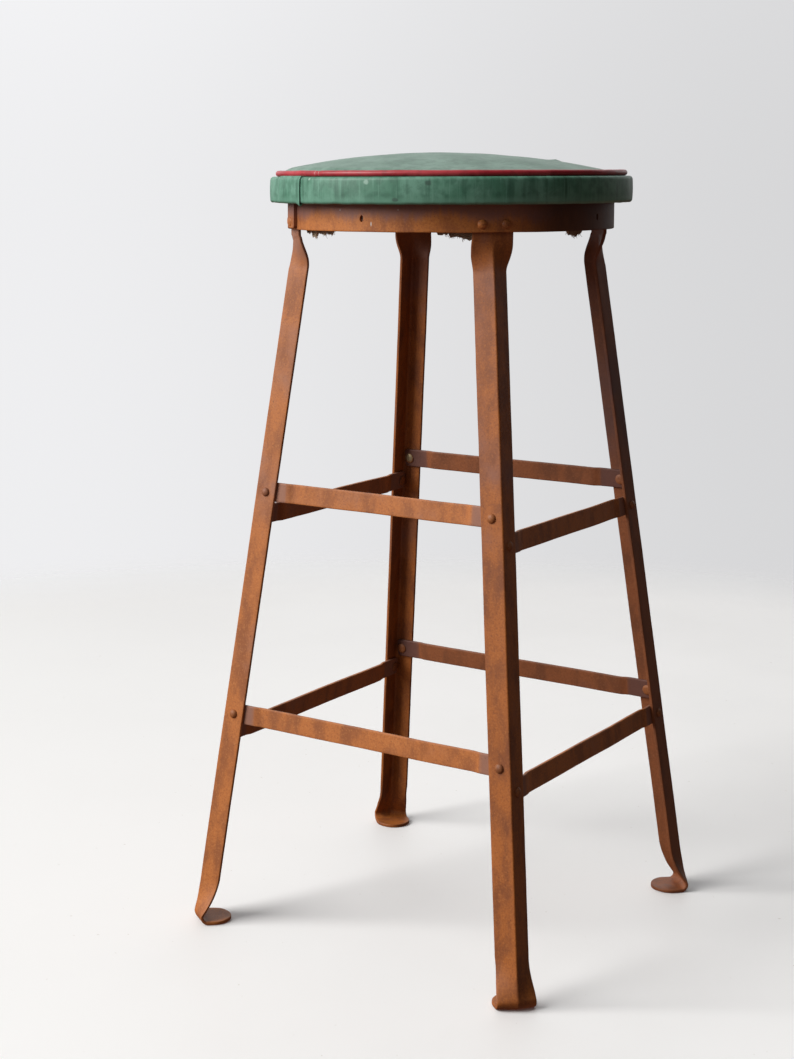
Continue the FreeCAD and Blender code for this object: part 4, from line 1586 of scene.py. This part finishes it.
@dataclass
class Band:
    """The boxing band: folded over the edge, tacked under the board, its outer end lapped."""

    shape: SeatShape = SeatShape()
    lap_from: float = -129.4
    lap_full: float = -124.8
    lap_end: float = -111.4
    corner_drop: float = 2.6

    def path(self) -> list[tuple[float, float]]:
        """Radius and height of the middle of the cloth, from the seam to the margin."""
        seat = self.shape
        half = seat.vinyl / 2
        side, top, low = seat.radius - half, seat.band_top - half, seat.band_bottom + half
        points = [(seat.seam + (side - seat.fold_top - seat.seam) * t, top) for t in (0, 0.25, 0.5, 0.75)]
        upper, lower = top - seat.fold_top, low + seat.fold_bottom
        points += bend((side - seat.fold_top, upper), seat.fold_top, arc(90, 0, 7))
        for step in range(1, 8):
            share = step / 8
            bulge = 0.35 * math.sin(math.pi * share)
            points.append((side + bulge, upper + (lower - upper) * share))
        points += bend((side - seat.fold_bottom, lower), seat.fold_bottom, arc(0, -80, 6))
        under = seat.margin_height + half
        points += [(173.2, low + 0.7), (seat.margin_bend, under), (168, under), (seat.margin, under)]
        return points

    @staticmethod
    def ribbon(path: Sequence[tuple[float, float]], wall: float) -> list[tuple[float, float]]:
        """Closed section round a path with a thickness."""
        outer, inner = [], []
        for index, (x, y) in enumerate(path):
            before = Vector(path[max(index - 1, 0)])
            after = Vector(path[min(index + 1, len(path) - 1)])
            along = (after - before).normalized()
            side = Vector((-along.y, along.x)) * wall / 2
            outer.append((x + side.x, y + side.y))
            inner.append((x - side.x, y - side.y))
        return outer + inner[::-1]

    def creased(self, angle: float, reach: float, level: float) -> tuple[float, float]:
        """Moves a point of the band by its small creases and its wavy lower edge."""
        spot = Vector((math.cos(angle), math.sin(angle), 0))
        share = eased((735 - level) / 14)
        pucker = noise.noise(spot * 44 + Vector((0, 0, level / 40))) * 0.16
        broad = noise.noise(spot * 9 + Vector((0, 0, level / 60))) * 0.35
        wave = noise.noise(spot * 13 + Vector((0, 0, 4))) * 0.45 * share
        outside = eased((reach - 170) / 6)
        return reach + (pucker + broad) * outside, level + wave * outside

    def body(self) -> bpy.types.Mesh:
        """The band all the way round."""
        section = self.ribbon(self.path(), self.shape.vinyl)
        rows, wear = [], []
        for step in range(420):
            angle = math.tau * step / 420
            row = []
            for reach, level in section:
                r, z = self.creased(angle, reach, level)
                row.append(polar(r, angle, z))
            rows.append(row)
            wear.append([0.0] * len(section))
        return skin("band_body", rows, wear, around=True)

    def flap(self) -> bpy.types.Mesh:
        """The lapped end on the outside, curled a little at its raw edge."""
        whole = self.path()
        part = whole[1:-3]
        rows, wear = [], []
        steps = 60
        for step in range(steps + 1):
            degrees = self.lap_from + (self.lap_end - self.lap_from) * step / steps
            angle = math.radians(degrees)
            out = eased((degrees - self.lap_from) / (self.lap_full - self.lap_from))
            to_end = (self.lap_end - degrees) * math.radians(self.shape.radius)
            curl = eased(1 - to_end / 9)
            section = self.ribbon(part, self.shape.vinyl * (1 - 0.35 * curl ** 2))
            row = []
            for reach, level in section:
                r, z = self.creased(angle, reach, level)
                low = eased((727 - level) / 8)
                lift = out * self.shape.vinyl * 1.02 - (1 - out) * 0.9
                r += lift + curl * (0.35 + 0.5 * low)
                z += (0.8 if level > 744 else 0.0) * out
                z -= curl * low * self.corner_drop * (1 if reach > 174 else 0.4)
                row.append(polar(r, angle, z))
            rows.append(row)
            # Raw edge painted paler: partly real wear, partly a painted highlight where the curled edge
            # catches the light.
            wear.append([eased(1 - to_end / 3.2)] * len(section))
        return skin("band_flap", rows, wear)

    def build(self, finish: Finish, with_pieces: Sequence[bpy.types.Object]) -> bpy.types.Object:
        """Makes the band.

        Args:
            finish: its finish.
            with_pieces: not used.

        Returns:
            The piece.
        """
        mesh = united("boxing_band", [self.body(), self.flap()])
        made = piece("boxing_band", mesh, finish, "vinyl_green", ("seat_band",), 60)
        return made


@dataclass
class Lining:
    """Coarse cloth tacked below the disc, torn and frayed at its edge."""

    radius: float = 149.0
    top: float = 700.5
    wall: float = 0.7
    tears: tuple[tuple[float, float, float], ...] = (
        (-128.0, 3.5, 9.5),
        (-122.0, 3.8, 13.0),
        (-115.5, 4.5, 10.0),
        (-110.0, 3.5, 9.0),
        (-62.0, 3.4, 8.5),
        (-57.5, 3.6, 10.0),
        (-53.5, 3.6, 12.0),
        (-9.0, 3.2, 10.0),
        (-6.3, 3.2, 11.5),
        (-3.2, 2.8, 9.5),
        (88.0, 5.0, 9.0),
        (171.0, 4.0, 10.0),
    )
    notches: float = 0.22

    def drop(self, degrees: float, radius: float) -> float:
        """How far the cloth hangs below its own level at a place."""
        edge = eased((radius - 132) / 17)
        angle = math.radians(degrees)
        spot = Vector((math.cos(angle), math.sin(angle), 0))
        sag = 0.5 + 0.5 * math.sin(angle * 6 - 1.0)
        total = edge * (0.9 * sag + 1.0 * abs(noise.noise(spot * 11)))
        deepest = 0.0
        for middle, half, depth in self.tears:
            away = abs((degrees - middle + 180) % 360 - 180)
            ragged = 1.0 + self.notches * noise.noise(Vector((degrees * 1.7, middle, 0)))
            hang = min(1.0, 2.2 * eased(1 - away / half))
            deepest = max(deepest, hang * depth * ragged)
        return total + deepest * eased((radius - 138) / 11) ** 2

    def build(self, finish: Finish, with_pieces: Sequence[bpy.types.Object]) -> bpy.types.Object:
        """Makes the lining.

        Args:
            finish: its finish.
            with_pieces: not used.

        Returns:
            The piece.
        """
        rings, sides = 34, 480
        mesh = bpy.data.meshes.new("lining")
        points, faces = [], []
        for ring in range(1, rings + 1):
            base = self.radius * (ring / rings) ** 0.8
            for side in range(sides):
                degrees = 360 * side / sides
                drop = self.drop(degrees, base)
                pull = min(drop * 0.25, 2.5)
                angle = math.radians(degrees)
                r = base - pull
                if ring == rings:
                    r -= 0.7 * noise.noise(Vector((degrees * 2.3, 0, 1)))
                points.append(polar(r, angle, self.top - drop) * MM)
        centre = len(points)
        points.append(Vector((0, 0, self.top)) * MM)
        for side in range(sides):
            after = (side + 1) % sides
            faces.append((centre, side, after))
            for ring in range(rings - 1):
                here, there = ring * sides, (ring + 1) * sides
                faces.append((here + side, there + side, there + after, here + after))
        mesh.from_pydata(points, [], faces)
        outward(mesh)
        thing = loose_object("lining_sheet", mesh)
        thick = thing.modifiers.new("thick", "SOLIDIFY")
        thick.thickness = self.wall * MM
        thick.offset = -1
        solid = settled(thing)
        dropped(thing)
        outward(solid)
        made = piece("under_cloth", solid, finish, "lining_cloth", ("under_lining",), 60)
        return made


class FringeTree(RepeatTree):
    """Geometry nodes that hang loose threads from points."""

    def __init__(self) -> None:
        """Builds the tree with its named inputs."""
        sockets = (
            ("Shortest", "Float", 0.12),
            ("Longest", "Float", 0.50),
            ("Lean", "Float", 0.9),
            ("Waves", "Float", 0.0014),
            ("Thickness", "Float", 0.00016),
            ("Seed", "Int", 11),
            ("Finish", "Material", None),
        )
        super().__init__("fringe", "Roots", sockets, "Threads")

    def shaped(self, graph: Graph, given: dict[str, Wire]) -> Wire:
        """The threads, each leaning, waving and as long as chance has it."""
        lean, back, seed = given["Lean"], given["Lean"] * -1.0, given["Seed"]
        bow = {"Resolution": 7, "Start": (0, 0, 0), "Middle": (0.001, 0, -0.004), "End": (0.0015, 0, -0.008)}
        thread = graph.wire("GeometryNodeCurveQuadraticBezier", None, bow)
        low = graph.wire("ShaderNodeCombineXYZ", None, {0: back, 1: back, 2: -3.14})
        high = graph.wire("ShaderNodeCombineXYZ", None, {0: lean, 1: lean, 2: 3.14})
        ways = {"Seed": seed, 0: low, 1: high}
        angles = graph.wire("FunctionNodeRandomValue", {"data_type": "FLOAT_VECTOR"}, ways)
        turn = graph.wire("FunctionNodeEulerToRotation", None, {0: angles})
        size = self.chance(graph, seed + 2.0, given["Shortest"], given["Longest"])
        loose = self.placed(graph, given["Roots"], thread, turn, size)
        wavy = self.shaken(graph, loose, 260.0, given["Waves"])
        girth = {"Resolution": 4, "Radius": given["Thickness"]}
        ring = graph.wire("GeometryNodeCurvePrimitiveCircle", None, girth)
        tube = {"Curve": wavy, "Profile Curve": ring, "Fill Caps": True}
        return graph.wire("GeometryNodeCurveToMesh", None, tube)


@dataclass
class Fringe:
    """Loose threads along the torn edge of the lining."""

    lining: Lining
    per_tear: int = 26
    seed: int = 11

    def roots(self) -> list[Vector]:
        """Where the threads hang from, in metres."""
        spots = []
        for middle, half, _ in self.lining.tears:
            for index in range(self.per_tear):
                share = (index * 0.6180339) % 1.0 * 2 - 1
                degrees = middle + share * half * 0.95
                reach = self.lining.radius - 0.6 - 3.0 * ((index * 0.381966) % 1.0)
                drop = self.lining.drop(degrees, reach)
                angle = math.radians(degrees)
                r = reach - min(drop * 0.25, 2.5)
                spots.append(polar(r, angle, self.lining.top - drop) * MM)
        return spots

    def build(self, finish: Finish) -> bpy.types.Object:
        """Makes the threads.

        Args:
            finish: their finish.

        Returns:
            The piece.
        """
        points = bpy.data.meshes.new("roots")
        points.from_pydata(self.roots(), [], [])
        mesh = FringeTree().applied(points, {"Seed": self.seed, "Finish": finish.material()})
        return piece("under_cloth_fringe", mesh, finish, "lining_cloth")


# Studio
@dataclass(frozen=True)
class Viewpoint:
    """Where the photograph was taken from."""

    azimuth: float = -59.618
    distance: float = 1.8613
    height: float = 0.7482
    down: float = 6.115
    left: float = -5.240
    roll: float = -0.192
    lens: float = 63.326
    shift: tuple[float, float] = (0.11157, -0.14779)

    def matrix(self) -> Matrix:
        """Place and aim of the camera."""
        angle, yaw, pitch, roll = map(math.radians, (self.azimuth, self.left, self.down, self.roll))
        up = Vector((0, 0, 1))
        ahead = -Vector((math.cos(angle), math.sin(angle), 0))
        ahead = ahead * math.cos(yaw) + ahead.cross(up) * math.sin(yaw)
        right = ahead.cross(up)
        ahead = ahead * math.cos(pitch) - up * math.sin(pitch)
        above = right.cross(ahead)
        right = right * math.cos(roll) + above * math.sin(roll)
        made = Matrix((right, right.cross(ahead), -ahead)).transposed().to_4x4()
        made.translation = Vector(
            (self.distance * math.cos(angle), self.distance * math.sin(angle), self.height)
        )
        return made

    def build(self) -> None:
        """Adds the camera."""
        camera = bpy.data.cameras.new("camera")
        camera.lens = self.lens
        camera.sensor_width = 36
        camera.shift_x, camera.shift_y = self.shift
        made = bpy.data.objects.new("camera", camera)
        made.matrix_world = self.matrix()
        bpy.context.scene.collection.objects.link(made)
        bpy.context.scene.camera = made


@dataclass(frozen=True)
class Studio:
    """Pale floor, a broad window on the left and the room's own light."""

    window_from: Tone = (-0.640, -0.768, 0.64)
    window_away: float = 6.5
    window_size: tuple[float, float] = (4.0, 4.8)
    window_power: float = 540.0
    room: float = 0.045
    glow_from: Tone = (-0.61, -0.79, 0.05)
    left_glow: float = 0.48
    back_from: Tone = (-0.50, 0.86, 0.10)
    back_glow: float = 1.00
    ceiling_glow: float = 0.26
    bounce: Tone = (1.0, 0.55, 0.42)
    under_glow: float = 0.15
    wall_left: Tone = (0.935, 0.935, 0.950)
    wall_right: Tone = (0.735, 0.735, 0.745)
    across: Tone = (0.813, 0.582, 0.0)
    window_tint: Tone = (1.0, 0.985, 0.96)
    window_aim: float = 0.35
    low_dimming: float = 0.080
    floor_radius: float = 2.4
    floor_sides: int = 96
    floor_drop: float = 0.0002

    def build(self) -> None:
        """Adds floor, window and room."""
        self.floor()
        self.window()
        self.world()

    def floor(self) -> None:
        """A large flat floor; only the camera sees it, so it throws no light on the stool."""
        mesh = bpy.data.meshes.new("floor")
        sides = self.floor_sides
        ring = [polar(self.floor_radius, math.tau * step / sides, 0.0) for step in range(sides)]
        mesh.from_pydata(ring, [], [tuple(range(sides))])
        mesh.materials.append(Ground("pale_floor").material())
        made = loose_object("floor", mesh)
        made.location.z = -self.floor_drop
        made.visible_diffuse = False
        made.visible_glossy = False

    def window(self) -> None:
        """The broad light on the left."""
        light = bpy.data.lights.new("window", "AREA")
        light.shape = "RECTANGLE"
        light.size, light.size_y = self.window_size
        light.energy = self.window_power
        light.color = self.window_tint
        made = bpy.data.objects.new("window", light)
        aim = Vector(self.window_from).normalized()
        made.location = Vector((0, 0, self.window_aim)) + aim * self.window_away
        made.rotation_mode = "QUATERNION"
        made.rotation_quaternion = aim.to_track_quat("Z", "Y")
        bpy.context.scene.collection.objects.link(made)

    def world(self) -> None:
        """The room: brighter on the left, and a pale wall for what looks at it directly."""
        world = bpy.data.worlds.new("room")
        bpy.context.scene.world = world
        world.use_nodes = True
        world.node_tree.nodes.clear()
        graph = Graph(world.node_tree)
        way = graph.wire("ShaderNodeTexCoord", output="Generated")
        side = graph.vector("DOT_PRODUCT", way, self.across, 1)
        towards = graph.vector("DOT_PRODUCT", way, self.glow_from, 1)
        behind = graph.vector("DOT_PRODUCT", way, self.back_from, 1)
        up = graph.parts(way)[2]
        down = up.rise(0.0, -0.25)
        glow = (towards.rise(0.0, 1.0) * self.left_glow + self.room) * up.rise(-0.25, 0.15)
        glow = glow + behind.rise(0.45, 0.95) * up.rise(-0.1, 0.1) * self.back_glow
        glow = glow + up.rise(0.72, 0.95) * self.ceiling_glow + down * self.under_glow
        tint = graph.blend(down, (1.0, 1.0, 1.0), self.bounce)
        lit = graph.wire("ShaderNodeBackground", None, {"Color": tint, "Strength": glow})
        wall = graph.blend(side.rise(-0.16, 0.30), self.wall_left, self.wall_right)
        dimmer = 1.0 - up.rise(0.22, -0.02) * self.low_dimming
        seen = graph.wire("ShaderNodeBackground", None, {"Color": wall, "Strength": dimmer})
        path = graph.node("ShaderNodeLightPath")
        rays = [Wire(graph, path.outputs[f"Is {kind} Ray"]) for kind in ("Camera", "Transmission")]
        direct = rays[0].most(rays[1])
        mixed = graph.wire("ShaderNodeMixShader", None, {0: direct, 1: lit, 2: seen})
        graph.node("ShaderNodeOutputWorld", None, {"Surface": mixed})


# The stool
FRAME_STEEL = AgedSteel("aged_angle_steel")
# A lit copy of the frame steel, painted brighter: painted light on the front-left leg and the front, left
# and right braces.
PAINTED_LIGHT_STEEL = AgedSteel(
    "brighter_patina_steel",
    warm=(0.460, 0.150, 0.036),
    brown=(0.290, 0.092, 0.028),
    pale=(0.560, 0.225, 0.068),
    slate=(0.260, 0.140, 0.110),
)
# A shaded copy of the frame steel, painted darker: painted shade on the back-right leg and the back braces,
# far from the window.
PAINTED_SHADE_STEEL = AgedSteel(
    "darker_angle_steel",
    warm=(0.240, 0.076, 0.026),
    brown=(0.160, 0.052, 0.020),
    pale=(0.310, 0.115, 0.048),
    slate=(0.120, 0.060, 0.054),
)
RING_STEEL = AgedSteel(
    "stained_ring_steel",
    warm=(0.49, 0.162, 0.034),
    brown=(0.290, 0.090, 0.026),
    pale=(0.58, 0.225, 0.060),
    slate_amount=0.2,
    # Stain and painted shade along the top of the ring, under the seat's edge.
    stain_and_shade_height=0.7085,
    stain_and_shade_tone=(0.245, 0.115, 0.098),
    # Painted shade on the ring's side away from the window.
    painted_shade_side=(0.813, 0.582, 0.0),
    flecks=(
        Spot((10.4, -160.2, 701.7), (0.7, 0.7, 2.6)),
        Spot((-24.9, -158.6, 714.2), (0.4, 0.5, 1.2)),
        Spot((37.1, -156.2, 714.7), (0.4, 0.5, 1.0)),
    ),
)
RIVETS = RivetSteel(
    "aged_rivet_steel",
    warm=(0.300, 0.100, 0.030),
    brown=(0.190, 0.062, 0.022),
    pale=(0.400, 0.155, 0.050),
    bare=(Spot((-126.6, 131.0, 436.0), (6, 6, 6)),),
)
# A lit copy of the rivet steel, painted brighter: painted light on the rivets of the ring.
PAINTED_LIGHT_RIVETS = RivetSteel(
    "warm_rivet_steel",
    warm=(0.52, 0.170, 0.038),
    pale=(0.60, 0.230, 0.060),
    slate_amount=0.2,
)
# Screw steel painted near black: painted shade, so that the screws in the ring read as dark holes.
PAINTED_SHADE_SCREWS = AgedSteel("dark_screw_steel", warm=(0.12, 0.07, 0.04), pale=(0.20, 0.15, 0.11))
TOP_VINYL = Vinyl(
    "faded_green_vinyl",
    base=(0.112, 0.212, 0.160),
    faded=(0.180, 0.300, 0.240),
    nicks=(Spot((90.0, 64.0, 761.0), (4, 4, 4)),),
)
BAND_VINYL = Vinyl(
    "streaked_green_vinyl",
    streak=0.6,
    light_below=0.7245,
    stains=(Spot((72.5, -162.4, 739.2), (4, 4, 3.0)), Spot((43.9, -172.3, 724.0), (4, 4, 2.6))),
    nicks=(Spot((-52.0, -170.0, 742.9), (2, 2, 1.8)), Spot((15.8, -177.1, 740.1), (3.2, 3.2, 3.0))),
    nick_tone=(0.34, 0.52, 0.43),
)
RED_VINYL = Vinyl(
    "red_piping_vinyl",
    base=(0.370, 0.013, 0.026),
    faded=(0.450, 0.040, 0.052),
    deep=(0.160, 0.007, 0.012),
    nicks=(Spot((-44.0, -166.8, 750.0), (0.5, 5, 5)), Spot((-49.0, -165.0, 750.0), (0.35, 5, 5))),
    nick_tone=(0.70, 0.45, 0.42),
    shine=0.30,
)
WOOD = Plywood("old_plywood")
CLOTH = Burlap("brown_burlap")


def build_frame() -> list[Brace]:
    """Makes the legs, the braces and the ring; gives the braces."""
    # Painted light and shade: the front-left leg and all braces but the back ones take the lit copy; the
    # back-right leg and the back braces take the shaded copy.
    lit_and_shaded_steel = {Corner.BACK_RIGHT: PAINTED_SHADE_STEEL, Corner.FRONT_LEFT: PAINTED_LIGHT_STEEL}
    for corner in Corner:
        AngleLeg(corner).build(lit_and_shaded_steel.get(corner, FRAME_STEEL))
    braces = [Brace(tier, side) for tier in Tier for side in Side]
    for brace in braces:
        brace.build(PAINTED_SHADE_STEEL if brace.side is Side.BACK else PAINTED_LIGHT_STEEL)
    StripRing().build(RING_STEEL)
    return braces


def build_fasteners(braces: Sequence[Brace]) -> dict[str, bpy.types.Object]:
    """Makes every rivet, screw and tack.

    Args:
        braces: the braces, which know where their rivets are.

    Returns:
        The pieces by name.
    """
    ring = StripRing()
    plain, lapped = ring.rivet_places()
    rivet, tack = FastenerShape(Head.RIVET, 6.4), FastenerShape(Head.TACK, 9)
    ring_sets = [
        (FastenerShape(Head.RIVET, 6.75), plain[:-1]),
        (FastenerShape(Head.RIVET, 6.75, 1.3), plain[-1:]),
        (FastenerShape(Head.RIVET, 9.95, 1.6), lapped),
    ]
    rows = [FastenerRow("ring_rivets", ring_sets, "rivet_steel", 3)]
    for name, shape, spots, seed in (
        ("ring_screws", FastenerShape(Head.SCREW, 22), ring.screw_places(2.2), 4),
        ("board_screws", FastenerShape(Head.SCREW, 30), hanging(4, 104, 700.7), 5),
        ("cover_tacks", tack, hanging(12, 168, 721.5), 6),
        ("lining_tacks", tack, hanging(6, 143, 699.7, 15), 8),
    ):
        rows.append(FastenerRow(name, [(shape, spots)], "screw_steel", seed))
    for tier in Tier:
        spots = [spot for brace in braces if brace.tier is tier for spot in brace.rivet_places()]
        name = f"{tier.value}_brace_rivets"
        rows.append(FastenerRow(name, [(rivet, spots)], "rivet_steel", 12 + len(tier.value)))
    tree = FastenerTree()
    made = {}
    for row in rows:
        usual = RIVETS if row.slot == "rivet_steel" else PAINTED_SHADE_SCREWS
        # The ring's rivets take the lit copy: painted light.
        made[row.name] = row.build(tree, PAINTED_LIGHT_RIVETS if row.name == "ring_rivets" else usual)
    return made


def build_seat(fasteners: dict[str, bpy.types.Object]) -> None:
    """Makes the upholstery and dresses the wood below it.

    Args:
        fasteners: the pieces of the fasteners by name.
    """
    for node in ("seat_board", "locating_disc"):
        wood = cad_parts[node]
        for slot in wood.material_slots:
            slot.material = WOOD.material()
        LOG.info("%s: kept, with plywood", node)
    Cushion().build(TOP_VINYL)
    piping = Piping().build(RED_VINYL)
    Band().build(BAND_VINYL, [piping, fasteners["cover_tacks"]])
    lining = Lining()
    fringe = Fringe(lining).build(CLOTH)
    lining.build(CLOTH, [fringe, fasteners["lining_tacks"]])


def main() -> None:
    """Builds the studio and the stool, from the floor up."""
    logging.basicConfig(level=logging.INFO, format="%(message)s")
    bpy.context.scene.view_settings.view_transform = "Standard"
    noise.seed_set(NOISE_SEED)
    Viewpoint().build()
    Studio().build()
    braces = build_frame()
    fasteners = build_fasteners(braces)
    build_seat(fasteners)


if __name__ == "__main__":
    main()
